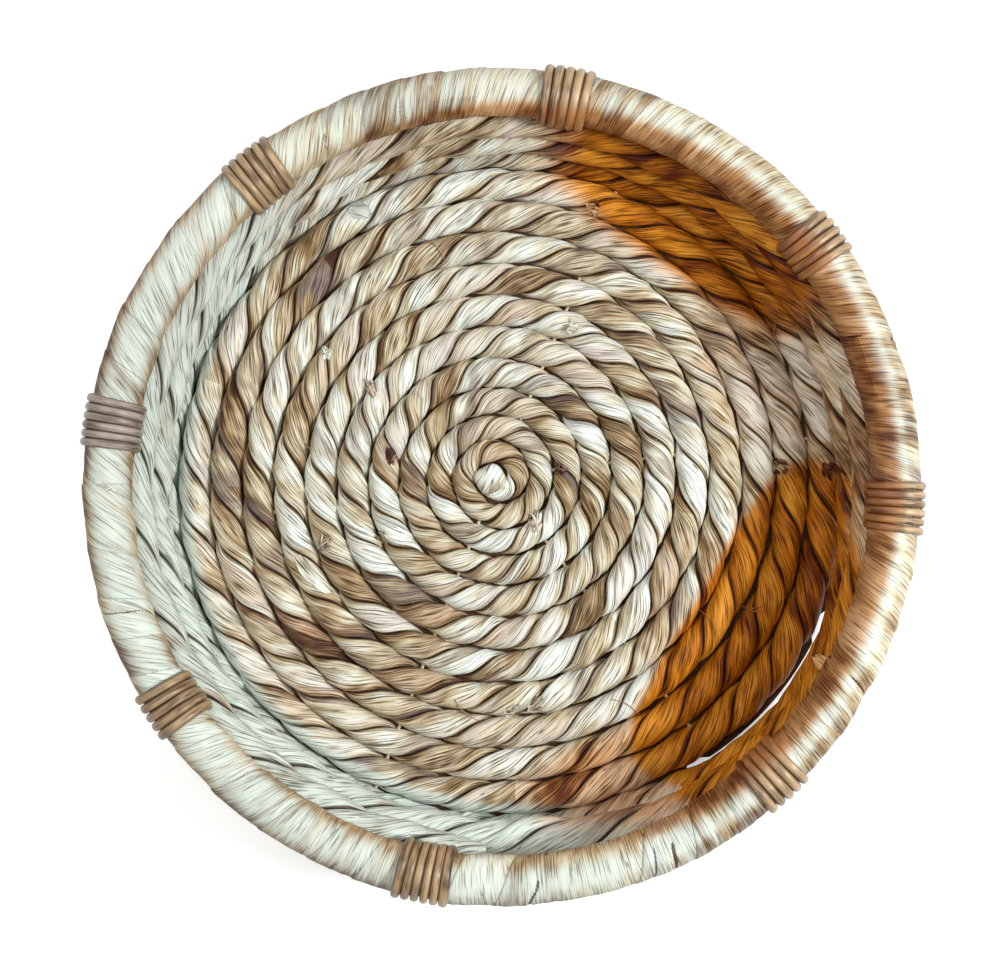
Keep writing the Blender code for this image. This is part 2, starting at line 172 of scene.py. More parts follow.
# Stray fibres: their two ends
HAIRS = (
    (0.1115, -0.0607, 0.1234, -0.0551), (0.1075, -0.0524, 0.1225, -0.0579),
    (0.1237, 0.075, 0.1155, 0.0829), (0.1274, 0.0769, 0.1287, 0.0667),
    (-0.0373, 0.1157, -0.0252, 0.1036), (-0.0931, 0.0258, -0.0856, 0.0156),
    (0.0503, -0.0984, 0.064, -0.1057), (-0.021, -0.0988, -0.0094, -0.1089),
    (0.0915, -0.0571, 0.0988, -0.0708),
)

# Strips of loose leaf: their thickness, their step along, and the steepest step up between points
STRIP_THICKNESS, STRIP_STEP, STRIP_STEEPEST = 0.0003, 0.0012, 0.0009

# Showings of the floor's rope that have gone dark: where, and the tone of each. Then how near
# to its place a point of the showing lies, and between what heights
DARK_SHOWINGS = (
    (0.0398, -0.0526, -0.4), (-0.0766, -0.0774, -0.45), (0.0195, -0.1399, -0.4),
    (0.0628, 0.0228, 0.0), (-0.1183, 0.0026, -0.15), (0.0344, 0.0422, -0.25),
    (-0.0876, 0.0932, -0.25), (0.0274, 0.0044, -0.25), (0.071, -0.0388, -0.05),
    (-0.0279, -0.056, 0.0), (-0.0465, -0.0519, 0.05), (-0.1282, 0.0422, 0.0),
    (-0.0117, -0.1241, 0.1), (0.0869, -0.0708, 0.1), (-0.0002, 0.0904, 0.1),
    (-0.0652, 0.1094, 0.0), (0.0711, 0.0647, 0.05), (-0.107, -0.0345, 0.1),
    (-0.1397, -0.0345, 0.3), (0.0183, 0.1274, 0.15),
)
SHOWING_REACH, SHOWING_LOW, SHOWING_HIGH = 0.002, 0.008, 0.015

# Eye: where the rope's folded end sits, half its width, its height, how much it stands up and
# hangs down from there, the width of its leaves, its rings and sides, and how square it is
EYE_PLACE, EYE_HALF = (-0.0048, 0.0028), 0.007
EYE_HEIGHT, EYE_UP, EYE_DOWN = 0.0072, 0.0058, 0.0062
EYE_LEAF, EYE_RINGS, EYE_SIDES, EYE_SQUARENESS = 0.0062, 22, 64, 3.2

# Patches of colour: what, degrees, radius, half width in degrees, half depth, strength, softness.
# The amber-coloured patches are painted shade, the lit one is a painted pool of light and the bare
# one is a gap left in the painted shade; the pale ones are the wall's paler leaf, partly painted
# light, and the pink ones a cast of the leaf itself
PATCHES = (
    ("painted_shade", -30, 0.141, 35, 0.037, 1, 0.06), ("painted_shade", -66, 0.143, 18, 0.018, 0.65, 0.3),
    ("painted_shade", 54, 0.152, 27, 0.027, 1, 0.22), ("painted_shade", 20, 0.14, 20, 0.034, 0.26, 0.4),
    ("unshaded_gap", -4, 0.163, 8, 0.007, 0.6, 0.25), ("lit", 17, 0.138, 12, 0.026, 1, 0.1),
    ("pale", 185, 0.162, 62, 0.017, 1, 0.25), ("pale", -116, 0.163, 50, 0.019, 1, 0.25),
    ("pink", 165, 0.13, 30, 0.02, 0.5, 0.25), ("pink", -130, 0.14, 34, 0.022, 0.55, 0.25),
    ("pink", -95, 0.12, 20, 0.02, 0.5, 0.25), ("pink", 60, 0.065, 24, 0.018, 0.6, 0.25),
    ("pink", -70, 0.055, 26, 0.014, 0.45, 0.25),
)

# Streaks along the leaf: width across it, run along it, detail and seed. Then how near the
# middle of its noise a crease shows
STAIN, BROAD, FIBRE = (0.011, 0.016, 2.0, 3), (0.0038, 0.05, 2.0, 0), (0.0011, 0.034, 2.0, 7)
FINE, CREASE = (0.00055, 0.014, 1.0, 13), (0.0024, 0.06, 1.0, 17)
CREASE_HALF = 0.018

# How much of the leaf's age, from dark to pale, comes from each leaf's own tone, its lot and
# its stain, broad, fibre and fine streaks
AGE_SHARES = (0.25, 0.42, 1.05, 0.2, 0.45, 0.9)

# Lamps: where each stands, its size and its tint. Then the tint of the sky, and the floor's
# colour under plain light, its glow, half its size and how far below the tray it lies
LAMPS = {
    "key": ((0.72, -0.06, 0.66), 0.26, (0.88, 0.95, 1.0)),
    "fill": ((-0.3, 0.25, 0.85), 0.6, (0.9, 0.96, 1.0)),
}
SKY_TINT, FLOOR_FOR_LIGHT = (1.0, 0.93, 0.82), (0.42, 0.33, 0.22)
FLOOR_GLOW, FLOOR_HALF, FLOOR_DROP = 0.5, 3.0, 0.0002


def length(name, default, description):
    """A size that a user may change."""
    return FloatProperty(
        name=name, default=default, description=description, unit="LENGTH", precision=5)


def share(name, default, description):
    """A plain number that a user may change."""
    return FloatProperty(name=name, default=default, description=description)


def point(name, default, description):
    """A place that a user may change."""
    return FloatVectorProperty(
        name=name, default=default, description=description, subtype="TRANSLATION")


def tint(name, default, description):
    """A colour that a user may change."""
    return FloatVectorProperty(
        name=name, default=default, description=description, subtype="COLOR", min=0, max=1)


def colour(name, steps, description):
    """A colour that a user may change, from the 0 to 255 steps that a screen shows."""
    linear = [((step / 255 + 0.055) / 1.055) ** 2.4 if step > 10 else step / 3295 for step in steps]
    return tint(name, linear, description)


class RopeTrayFloor(bpy.types.PropertyGroup):
    """Sizes of the floor's rope"""
    rope_radius: length("Rope Radius", 0.00715, "Radius of the floor's rope")
    eye_radius: length("Radius at the Eye", 0.00425, "Radius of the rope where the coil begins")
    tip_radius: length("Tip Radius", 0.0026, "Radius of the rope's very tip")
    turn_gap: length("Gap Between Turns", 0.0007, "Gap from one turn to the next")
    turns: share("Turns", 11.8333, "Turns of the coil, counted from its middle")
    first_turn: share("First Turn", 0.3, "Where on the coil the rope begins")
    tail_turns: share("Tail Turns", 0.05, "Turns over which the rope thins out under the wall")
    tip_turns: share("Tip Turns", 0.65, "Turns over which the tip thickens")
    growing_turns: share("Growing Turns", 5.0, "Turns over which the rope grows to its full radius")
    end_angle: FloatProperty(
        name="End Angle", default=math.radians(-60), subtype="ANGLE", description="Where it ends")
    shift_left: length("Shift Left", 0.0022, "How far the coil lies to the left of the middle")
    shift_back: length("Shift Back", 0.0042, "How far the coil lies behind the middle")
    outer_shift: share("Outer Shift Share", 0.35, "Share of the shift left at the last turn")
    slack: length("Slack", 0.005, "How much further out the slumped side's last turn lies")
    slack_turns: share("Slack Turns", 3.0, "Turns over which the slack builds up")
    swelling: share("Swelling", 0.99, "How much fuller the soft rope is than its solid")
    height: length("Height", 0.00572, "Height of the rope's middle")
    ring_step: length("Ring Step", 0.0016, "Spacing of the rings of points along the rope")


class RopeTrayWall(bpy.types.PropertyGroup):
    """Sizes of the wall's rope"""
    rope_radius: length("Rope Radius", 0.008, "Radius of the wall's rope")
    lower_radius: length("Lower Course Radius", 0.16, "Radius of the lower course")
    upper_radius: length("Upper Course Radius", 0.1635, "Radius of the upper course")
    lower_height: length("Lower Course Height", 0.01914, "Height of the lower course's middle")
    upper_height: length("Upper Course Height", 0.0333, "Height of the upper course's middle")
    lower_bulge: length("Lower Bulge", 0.007, "How far the lower course has slumped outwards")
    upper_bulge: length("Upper Bulge", 0.003, "How far the upper course has slumped outwards")
    lay: length("Lay Length", 0.078, "Length of rope in which its strands go once round")
    ring_step: length("Ring Step", 0.0015, "Spacing of the rings of points along the rope")


class RopeTrayHoop(bpy.types.PropertyGroup):
    """Sizes of the hoop's wrapping and of its lashings"""
    band_width: length("Band Width", 0.0215, "Width that shows of each turn of the wrapping")
    band_lip: length("Band Lip", 0.00045, "How far each band stands over the next")
    cane_share: share("Cane Share", 0.515, "Radius of the cane as a share of its pitch")
    bite: length("Bite", 0.005, "How much deeper a lashing reaches below the hoop")


class RopeTrayLeaf(bpy.types.PropertyGroup):
    """Colours of the leaf and the cane"""
    cream: colour("Cream", (248, 250, 240), "Palest leaf")
    straw: colour("Straw", (226, 212, 180), "Common leaf")
    tan: colour("Tan", (178, 148, 108), "Older leaf")
    brown: colour("Brown", (104, 70, 38), "Leaf that has turned brown")
    maroon: colour("Maroon", (76, 46, 42), "Leaf that has turned dark")
    pink: colour("Pink", (204, 152, 128), "Leaf with a pink cast")
    grey: colour("Grey", (156, 144, 142), "Leaf with a grey cast")
    # The wall's paler leaf, partly painted light; it is also the rim's painted highlight
    pale: colour("Pale Green", (226, 235, 224), "Leaf of the wall")
    # Painted shade: the colours of the shaded side of the tray and of the hoop, middle, darkest and
    # palest
    painted_shade: colour("Amber", (196, 113, 8), "Leaf of the shaded side")
    deepest_painted_shade: colour("Deep Amber", (98, 25, 1), "Darkest leaf of the shaded side")
    palest_painted_shade: colour("Light Amber", (240, 160, 52), "Palest leaf of the shaded side")
    # Also painted shade: the dark of the grooves between the strands, the lap edges and the gap
    # filler, besides the splits and creases
    groove: colour("Groove", (40, 20, 4), "Depths between the leaves")
    cane: colour("Cane", (170, 140, 104), "Cane of the lashings")
    grey_cane: colour("Grey Cane", (152, 138, 128), "Cane of the greyest lashing")


class RopeTrayStage(bpy.types.PropertyGroup):
    """The camera, the lamps and the floor"""
    eye: point("Camera Place", (0.0175, -0.005, 0.571), "Where the camera stands")
    aim: point("Camera Aim", (0.001, 0.0012, 0.0512), "What the camera looks at")
    lens: share("Lens", 43.6, "Focal length of the camera on a 36 mm sensor, in millimetres")
    key: share("Key Power", 8.9, "Power of the lamp on the right")
    fill: share("Fill Power", 3.9, "Power of the lamp on the left")
    sky: share("Sky Strength", 0.28, "Strength of the even light from all around")
    floor: tint("Floor", (0.86, 0.86, 0.85), "Colour of the floor")


# Nodes

def sum_of(operation):
    """What a signal does with another signal or number."""
    return lambda self, other: maths(operation, self, other)


class Signal:
    """A node's output, which adds, multiplies and so on as a number does."""
    __add__, __sub__, __mul__ = sum_of("ADD"), sum_of("SUBTRACT"), sum_of("MULTIPLY")
    __truediv__, __pow__ = sum_of("DIVIDE"), sum_of("POWER")

    def __init__(self, socket):
        self.socket = socket

    def __rsub__(self, other):
        return maths("SUBTRACT", other, self)

    def __abs__(self):
        return maths("ABSOLUTE", self)


def feed(made, inputs):
    """Give a node its inputs, from plain values or from other nodes."""
    for key, value in inputs.items():
        socket = made.inputs[key]
        if isinstance(value, Signal):
            made.id_data.links.new(value.socket, socket)
        else:
            socket.default_value = (*value, 1.0)[:4] if socket.type == "RGBA" else value


def outputs(tree, kind, inputs=None, **settings):
    """All that a new node puts out, by name."""
    made = tree.nodes.new(kind)
    for key, value in settings.items():
        setattr(made, key, value)
    feed(made, inputs or {})
    return {socket.name: Signal(socket) for socket in made.outputs if socket.enabled}


def first(tree, kind, inputs=None, **settings):
    """The first thing that a new node puts out."""
    return next(iter(outputs(tree, kind, inputs, **settings).values()))


def tree_of(*values):
    """The tree of the first node's output among some values."""
    return next(value.socket.id_data for value in values if isinstance(value, Signal))


def maths(operation, *values):
    """A sum of nodes' outputs and plain numbers."""
    return first(tree_of(*values), "ShaderNodeMath", dict(enumerate(values)), operation=operation)


def new_tree(name, sizes):
    """A geometry tree with named sizes and a material, its node maker and what it is given."""
    tree = bpy.data.node_groups.new(name, "GeometryNodeTree")
    tree.interface.new_socket("Geometry", in_out="INPUT", socket_type="NodeSocketGeometry")
    tree.interface.new_socket("Geometry", in_out="OUTPUT", socket_type="NodeSocketGeometry")
    for title, size in sizes.items():
        kind = "NodeSocketInt" if isinstance(size, int) else "NodeSocketFloat"
        made = tree.interface.new_socket(title, in_out="INPUT", socket_type=kind)
        made.default_value = size
    tree.interface.new_socket("Material", in_out="INPUT", socket_type="NodeSocketMaterial")
    return tree, partial(first, tree), outputs(tree, "NodeGroupInput")


def end_tree(tree, add, given, path, ring, inputs):
    """Close a tree: a section swept along a path, smooth, as real geometry with its material."""
    swept = add("GeometryNodeCurveToMesh", {"Curve": path, "Profile Curve": ring, **inputs})
    smooth = add("GeometryNodeSetShadeSmooth", {"Geometry": swept})
    real = add("GeometryNodeRealizeInstances", {"Geometry": smooth})
    skinned = add("GeometryNodeSetMaterial", {"Geometry": real, "Material": given["Material"]})
    tree.links.new(skinned.socket, tree.nodes.new("NodeGroupOutput").inputs[0])
    return tree


def stored(add, geometry, name, value, kind="FLOAT"):
    """Geometry that carries a value at each point."""
    return add("GeometryNodeStoreNamedAttribute",
               {"Geometry": geometry, "Name": name, "Value": value}, data_type=kind, domain="POINT")


def linked(name, data):
    """A new object in the scene."""
    made = bpy.data.objects.new(name, data)
    bpy.context.scene.collection.objects.link(made)
    return made


def grown(name, source, tree, values):
    """The plain mesh that a tree makes of a mesh, as a new object at the origin."""
    holder = linked(name, source)
    modifier = holder.modifiers.new(tree.name, "NODES")
    modifier.node_group = tree
    for item in tree.interface.items_tree:
        if item.in_out == "INPUT" and item.name in values:
            modifier[item.identifier] = values[item.name]
    depsgraph = bpy.context.evaluated_depsgraph_get()
    mesh = bpy.data.meshes.new_from_object(holder.evaluated_get(depsgraph), depsgraph=depsgraph)
    holder.modifiers.clear()
    holder.data = mesh
    mesh.name = name
    bpy.data.meshes.remove(source)
    if not mesh.polygons:
        raise RuntimeError(f"{name} came out empty")
    return holder


def strand_tree():
    """A rope's strand: half of the rope's section, swept along its path and turning with it."""
    tree, add, given = new_tree("Twisted Strand", {
        "Points Across": 22, "Half Turn": 0.0, "Groove Depth": 0.24, "Groove Sharpness": 5.0,
        "Clearance": 0.02})
    path = add("GeometryNodeMeshToCurve", {"Mesh": given["Geometry"]})
    path = add("GeometryNodeSetCurveNormal", {"Curve": path}, mode="Z_UP")
    twist, thick = [add("GeometryNodeInputNamedAttribute", {"Name": name}, data_type="FLOAT")
                    for name in ("twist", "thick")]
    path = add("GeometryNodeSetCurveTilt", {"Curve": path, "Tilt": twist + given["Half Turn"]})
    line = add("GeometryNodeCurvePrimitiveLine")
    line = add("GeometryNodeResampleCurve", {"Curve": line, "Count": given["Points Across"]})
    around = add("GeometryNodeSplineParameter") * 2.0 - 1.0
    line = stored(add, line, "around", around)
    reach = 1.0 - abs(around) ** given["Groove Sharpness"] * given["Groove Depth"]
    turn = around * (math.pi / 2)
    place = add("ShaderNodeCombineXYZ", {
        "X": reach * maths("COSINE", turn) + given["Clearance"], "Y": reach * maths("SINE", turn)})
    line = add("GeometryNodeSetPosition", {"Geometry": line, "Position": place})
    line = add("GeometryNodeSetSplineCyclic", {"Geometry": line, "Cyclic": True})
    return end_tree(tree, add, given, path, line, {"Scale": thick, "Fill Caps": True})


def hoop_tree():
    """The hoop's skin: a round section swept round a circle."""
    tree, add, given = new_tree("Wrapped Hoop", {
        "Hoop Radius": HOOP_RADIUS, "Tube Radius": HOOP_TUBE, "Height": HOOP_HEIGHT,
        "Stations": 1900, "Sides": 40})
    path = add("GeometryNodeCurvePrimitiveCircle", {
        "Resolution": given["Stations"], "Radius": given["Hoop Radius"]})
    path = add("GeometryNodeSetCurveNormal", {"Curve": path}, mode="Z_UP")
    lift = add("ShaderNodeCombineXYZ", {"Z": given["Height"]})
    path = add("GeometryNodeSetPosition", {"Geometry": path, "Offset": lift})
    ring = add("GeometryNodeCurvePrimitiveCircle", {
        "Resolution": given["Sides"], "Radius": given["Tube Radius"]})
    return end_tree(tree, add, given, path, ring, {})


def cane_tree():
    """A lashing: round cane wound about the hoop, deeper below it, swaying from turn to turn."""
    tree, add, given = new_tree("Wound Cane", {
        "Angle": 0.0, "Turns": 6, "Points Per Turn": 28, "Sides": 12, "Hoop Radius": HOOP_RADIUS,
        "Hoop Height": HOOP_HEIGHT, "Loop Radius": 0.0128, "Bite": 0.005, "Pitch": 0.00425,
        "Cane Radius": 0.00205, "Sway": 0.85})
    turns, hoop, loop = given["Turns"], given["Hoop Radius"], given["Loop Radius"]
    path = add("GeometryNodeResampleCurve", {
        "Curve": add("GeometryNodeCurvePrimitiveLine"),
        "Count": turns * given["Points Per Turn"] + 1.0})
    turn = add("GeometryNodeSplineParameter") * turns
    path = stored(add, path, "wound", turn)
    phase = turn * math.tau - math.pi / 2
    sine = maths("SINE", phase)
    up = sine * loop + maths("MINIMUM", sine, 0.0) * given["Bite"]
    sway = maths("SINE", turn * math.tau) * given["Sway"] / math.tau
    angle = given["Angle"] + (turn + sway - turns / 2.0) * given["Pitch"] / hoop
    out = hoop + maths("COSINE", phase) * loop
    place = add("ShaderNodeCombineXYZ", {
        "X": out * maths("COSINE", angle), "Y": out * maths("SINE", angle),
        "Z": given["Hoop Height"] + up})
    path = add("GeometryNodeSetPosition", {"Geometry": path, "Position": place})
    path = stored(add, path, "middle", place, "FLOAT_VECTOR")
    ring = add("GeometryNodeCurvePrimitiveCircle", {
        "Resolution": given["Sides"], "Radius": given["Cane Radius"]})
    return end_tree(tree, add, given, path, ring, {"Fill Caps": True})


# Paths

def smoothed(low, high, value):
    """0 below low, 1 above high and smooth between."""
    part = np.clip((value - low) / (high - low), 0.0, 1.0)
    return part * part * (3.0 - 2.0 * part)


def past(angle, degrees):
    """How many degrees each angle lies past one, from -180 to 180."""
    return (np.degrees(angle) - degrees + 180) % 360 - 180


def swell_at(angle):
    """How far into the slumped side each angle lies, from 0 outside it to 1 at its middle."""
    away = np.minimum(np.abs(past(angle, SLUMP_MIDDLE)) / SLUMP_HALF, 1)
    return np.cos(away * math.pi / 2) ** 2


def floor_rule(sizes, turn):
    """The floor coil's radius and its rope's radius at each turn."""
    growing = np.minimum(turn, sizes.growing_turns)
    growth = (sizes.rope_radius - sizes.eye_radius) / sizes.growing_turns
    radius = (2 * sizes.eye_radius + sizes.turn_gap) * growing + growth * growing ** 2
    full = 2 * sizes.rope_radius + sizes.turn_gap
    radius = radius + full * np.maximum(turn - sizes.growing_turns, 0)
    rope = sizes.eye_radius + growth * growing
    tip = np.clip((turn - sizes.first_turn) / sizes.tip_turns, 0, 1)
    return radius, np.minimum(rope, sizes.tip_radius + tip * (rope - sizes.tip_radius))


def resampled(points, values, step):
    """Points and the values along them, evenly spaced."""
    steps = np.linalg.norm(np.diff(points, axis=0), axis=1)
    along = np.concatenate([[0], np.cumsum(steps)])
    even = np.linspace(0, along[-1], int(along[-1] / step) + 1)
    moved = [np.interp(even, along, column) for column in points.T]
    return np.stack(moved, axis=1), [np.interp(even, along, value) for value in values], even


def floor_course(sizes, turn, aside=0.0):
    """The middle and radius of the floor's rope at each turn, or of a line beside it."""
    radius, rope = floor_rule(sizes, turn)
    angle = sizes.end_angle + math.tau * (turn - sizes.turns)
    slack = swell_at(angle) * np.maximum(1 + (turn - sizes.turns) / sizes.slack_turns, 0)
    radius = radius + sizes.slack * slack + aside * (rope + sizes.turn_gap / 2)
    rope = rope * (sizes.swelling + 0.15 * slack)
    left = 1 - (1 - sizes.outer_shift) * turn / sizes.turns
    x = radius * np.cos(angle) - left * sizes.shift_left
    y = radius * np.sin(angle) + left * sizes.shift_back
    return np.stack([x, y, np.full_like(x, sizes.height)], axis=1), rope, radius, angle


def turned(along, lay, lean=0.22):
    """The strands' turning along a rope: faster where one crosses over the top of the other."""
    even = -np.cumsum(math.tau * np.gradient(along) / lay)
    return even + lean / 2 * np.sin(2 * even)


def floor_path(sizes):
    """The floor rope's middle, radius and twist, from the eye out."""
    last = sizes.turns + sizes.tail_turns
    turn = np.linspace(sizes.first_turn, last, 6000)
    points, rope, radius, _ = floor_course(sizes, turn)
    rope = rope * (1 - 0.6 * smoothed(sizes.turns - 0.01, last, turn))
    points, (rope, radius), along = resampled(points, (rope, radius), sizes.ring_step)
    return points, rope, turned(along, np.interp(radius, LAY_RADII, LAYS)), along


def bed_path(sizes, wall):
    """A dark filler low between the floor's turns, standing for their shade.

    It is kept under the wall's lower course.
    """
    turn = np.linspace(sizes.first_turn - 0.45, sizes.turns + 0.05, 6000)
    points, rope, _, angle = floor_course(sizes, turn, 1.0)
    points[:, 2] = BED_HEIGHT
    swell = swell_at(angle)
    thick = np.maximum(BED_SHARE * rope, BED_LEAST)
    outer = BED_OUTER + BED_GAIN * smoothed(0.0, 0.35, swell)
    thick = thick + (outer - thick) * smoothed(sizes.turns - 1.1, sizes.turns - 0.95, turn)
    for degrees, half in BED_THIN:
        left = thick * smoothed(0.6, 1.6, np.abs(past(angle, degrees)) / half) + 0.0002
        thick = np.where(turn > sizes.turns - 1, left, thick)
    covered = wall.lower_radius + swell * wall.lower_bulge
    points[:, :2] *= np.minimum(covered / np.hypot(points[:, 0], points[:, 1]), 1)[:, None]
    points, (thick,), along = resampled(points, (thick,), 2 * sizes.ring_step)
    return points, thick, np.full(len(points), math.pi / 2), along


def wall_path(sizes):
    """The wall rope's middle, radius and twist: two courses and the climb between them."""
    travel = np.linspace(0, 2 * math.tau - WALL_CLIMB - WALL_SHORT, 4000)
    level = smoothed(math.tau - WALL_CLIMB, math.tau, travel)
    angle = WALL_START + travel
    swell = swell_at(angle)
    lower = sizes.lower_radius + swell * sizes.lower_bulge
    upper = sizes.upper_radius + swell * sizes.upper_bulge
    radius = lower + level * (upper - lower)
    height = sizes.lower_height + level * (sizes.upper_height - sizes.lower_height)
    points = np.stack([radius * np.cos(angle), radius * np.sin(angle), height], axis=1)
    points, _, along = resampled(points, (), sizes.ring_step)
    full = smoothed(0.0, WALL_TAPER, np.minimum(along, along[-1] - along))
    thick = sizes.rope_radius * (WALL_END_SHARE + (1 - WALL_END_SHARE) * full)
    return points, thick, turned(along, np.full(len(points), sizes.lay)), along


def path_mesh(path):
    """A path as a line of edges that carries its values."""
    points, thick, twist, along = path
    mesh = bpy.data.meshes.new("path")
    mesh.from_pydata(points.tolist(), [(k, k + 1) for k in range(len(points) - 1)], [])
    for name, values in (("thick", thick), ("twist", twist), ("along", along)):
        made = mesh.attributes.new(name, "FLOAT", "POINT")
        made.data.foreach_set("value", values.astype(np.float32))
    return mesh


# Leaf

def scattered(*keys):
    """A settled random number from 0 to 1 for each set of whole numbers."""
    blend = np.zeros(np.broadcast(*keys).shape)
    for index, key in enumerate(keys):
        blend = blend + np.asarray(key, float) * (12.9898 + 65.2331 * index)
    value = np.sin(blend) * 43758.5453
    return value - np.floor(value)


def wave(value, size, seed):
    """A slow, settled wander from -1 to 1 with features of about a size."""
    place = np.asarray(value) / size
    low = np.floor(place)
    part = place - low
    part = part * part * (3 - 2 * part)
    return 2 * (scattered(low, seed) * (1 - part) + scattered(low + 1, seed) * part) - 1


def numbers_of(data, name, width=1):
    """What a mesh carries at each point, with its own row for each where it is wide."""
    values = np.zeros(len(data) * width, np.float32)
    data.foreach_get(name, values)
    return values.reshape(-1, width).astype(float) if width > 1 else values.astype(float)


def places_of(mesh):
    """The places of a mesh's points."""
    return numbers_of(mesh.vertices, "co", 3)


def carried(mesh, name):
    """A number that a mesh carries at each point."""
    return numbers_of(mesh.attributes[name].data, "value")


def move(mesh, places):
    """Put a mesh's points in new places."""
    mesh.vertices.foreach_set("co", places.astype(np.float32).ravel())


def drop(mesh, *names):
    """Take away what a mesh no longer needs to carry."""
    for name in names:
        mesh.attributes.remove(mesh.attributes[name])


def polar(places):
    """Each place's angle and radius about the tray's middle."""
    return np.arctan2(places[:, 1], places[:, 0]), np.hypot(places[:, 0], places[:, 1])


def about_hoop(places):
    """Each place's angle round the tray and round the hoop, from below it by way of outside."""
    angle, radius = polar(places)
    turn = np.arctan2(places[:, 2] - HOOP_HEIGHT, radius - HOOP_RADIUS)
    return angle, (turn + math.pi / 2) % math.tau - math.pi / 2


def give_colour(mesh, name, columns):
    """Store up to four numbers at each point as a colour."""
    values = np.ones((len(mesh.vertices), 4), np.float32)
    for index, numbers in enumerate(columns):
        values[:, index] = numbers
    made = mesh.color_attributes.new(name, "FLOAT_COLOR", "POINT")
    made.data.foreach_set("color", values.ravel())


def give_map(mesh, name, across, along):
    """Store two lengths at each point as a UV map."""
    corner = np.zeros(len(mesh.loops), np.int32)
    mesh.loops.foreach_get("vertex_index", corner)
    flat = np.stack([across[corner], along[corner]], axis=1).astype(np.float32)
    mesh.uv_layers.new(name=name).data.foreach_set("uv", flat.ravel())


def give_leaf(mesh, casts, depth, lasting, lots, across, along, lane):
    """Store all that the leaf's finish reads.

    The casts are the painted shade, the pale leaf (partly painted light), the pink cast and the
    painted pool of light. Depth is how deep a point lies in a groove, where it is painted darker as
    shade, and lasting is 0 where a leaf has ended. The lots set a showing's tone and hue.
    """
    give_colour(mesh, "leaf_cast", casts)
    give_colour(mesh, "leaf_depth", (depth, lasting, *lots))
    give_map(mesh, "leaf", across, along)
    give_map(mesh, "lap", lane, along)
    mesh.shade_smooth()


def patch(what, places):
    """How much of a kind of colour each place takes."""
    angle, radius = polar(places)
    most = np.zeros(len(places))
    for kind, middle, out, half, deep, strength, soft in PATCHES:
        if kind == what:
            away = np.hypot(past(angle, middle) / half, (radius - out) / deep)
            most = np.maximum(most, strength * (1 - smoothed(1 - soft, 1 + soft, away)))
    # The painted shade leaves a gap where a lit leaf shows under the rim
    return most * (1 - patch("unshaded_gap", places)) if what == "painted_shade" else most


def rim_shade(places, ragged=0.0):
    """How far each place on the hoop lies in the warm shade of its inner side."""
    angle, turn = about_hoop(places)
    toward = np.cos(angle - math.radians(SHADE_MIDDLE))
    edge = math.radians(SHADE_START) + math.radians(SHADE_LATER) * (1 - toward) + ragged
    shade = smoothed(edge - 0.25, edge + 0.3, turn) * smoothed(-0.2, 0.3, toward)
    return SHADE_STRENGTH * shade


def show_lots(mesh, half_turn, around, out, places, seed):
    """Two settled numbers for each showing of a strand, which change where it is underneath."""
    phase = carried(mesh, "twist") + half_turn
    crown = np.abs(around) < 0.1
    up = np.sign(np.sum(np.sin(phase[crown]) * out[crown, 2]))
    spot = (phase + up * math.pi / 2) / math.tau
    low = np.floor(spot)
    late = smoothed(0.93, 1.0, spot - low)
    lowest = int(low.min())
    whole = np.arange(lowest, int(low.max()) + 2)
    tones, hues = scattered(whole, seed + 41), scattered(whole, seed + 43)
    height = places[:, 2]
    upper = (np.abs(around) < 0.7) & (height > SHOWING_LOW) & (height < SHOWING_HIGH)
    for x, y, tone in DARK_SHOWINGS:
        near = (np.abs(places[:, :2] - (x, y)) < SHOWING_REACH).all(axis=1) & upper
        if near.any():
            tones[int(np.median(low[near])) - lowest] = tone
    showing = (low - lowest).astype(int)
    return [lots[showing] * (1 - late) + lots[showing + 1] * late for lots in (tones, hues)]


def dress_strand(mesh, path, half_turn, seed, leaf_width, slope, lip):
    """Lay overlapping leaves over a strand: their laps, folds and colours."""
    points, thick, _, even = path
    around, along = carried(mesh, "around"), carried(mesh, "along")
    places = places_of(mesh)
    middle = np.stack([np.interp(along, even, points[:, k]) for k in range(3)], axis=1)
    rope = np.interp(along, even, thick)
    out = places - middle
    across = around * rope * math.pi / 2
    fibre = across - slope * along + 0.0005 * wave(along, 0.05, seed)
    lane = fibre / leaf_width + 50 + 0.25 * wave(along, 0.09, seed + 3)
    leaf = np.floor(lane)
    part = lane - leaf
    longest = LEAF_LENGTH + LEAF_LONGER * scattered(leaf, seed, 3)
    run = (along + scattered(leaf, seed, 5)) / longest
    span = np.floor(run)
    through = run - span
    lasting = smoothed(0, 0.12, through) * (1 - smoothed(0.85, 1.0, through))
    proud = lip * (0.3 + 0.9 * scattered(leaf, span, seed + 7)) * lasting
    rise = smoothed(0.0, 0.1, part) * (1 - part) ** 1.3
    folds = FOLD * wave(fibre + 0.0004 * wave(along, 0.02, seed + 11), FOLD_SIZE, seed + 13)
    lumps = LUMP * wave(along + 0.5 * across, LUMP_SIZE, seed + 17)
    shown = (1 - np.abs(around) ** 6) * np.minimum(rope / THIN_ROPE, 1)
    lift = (proud * rise + folds + lumps) * shown
    reach = np.linalg.norm(out, axis=1, keepdims=True)
    places = places + out / np.maximum(reach, 1e-6) * lift[:, None]
    places[:, 2] = np.maximum(places[:, 2], GROUND_GAP)
    move(mesh, places)
    # The painted shade, the pale leaf (partly painted light), the pink cast and the painted pool of
    # light, by place on the tray
    casts = [patch(what, places) for what in ("painted_shade", "pale", "pink", "lit")]
    lots = show_lots(mesh, half_turn, around, out, places, seed)
    give_leaf(mesh, casts, np.abs(around), lasting, lots, fibre, along, lane)
    drop(mesh, "around", "along", "twist", "thick")


# Finishes

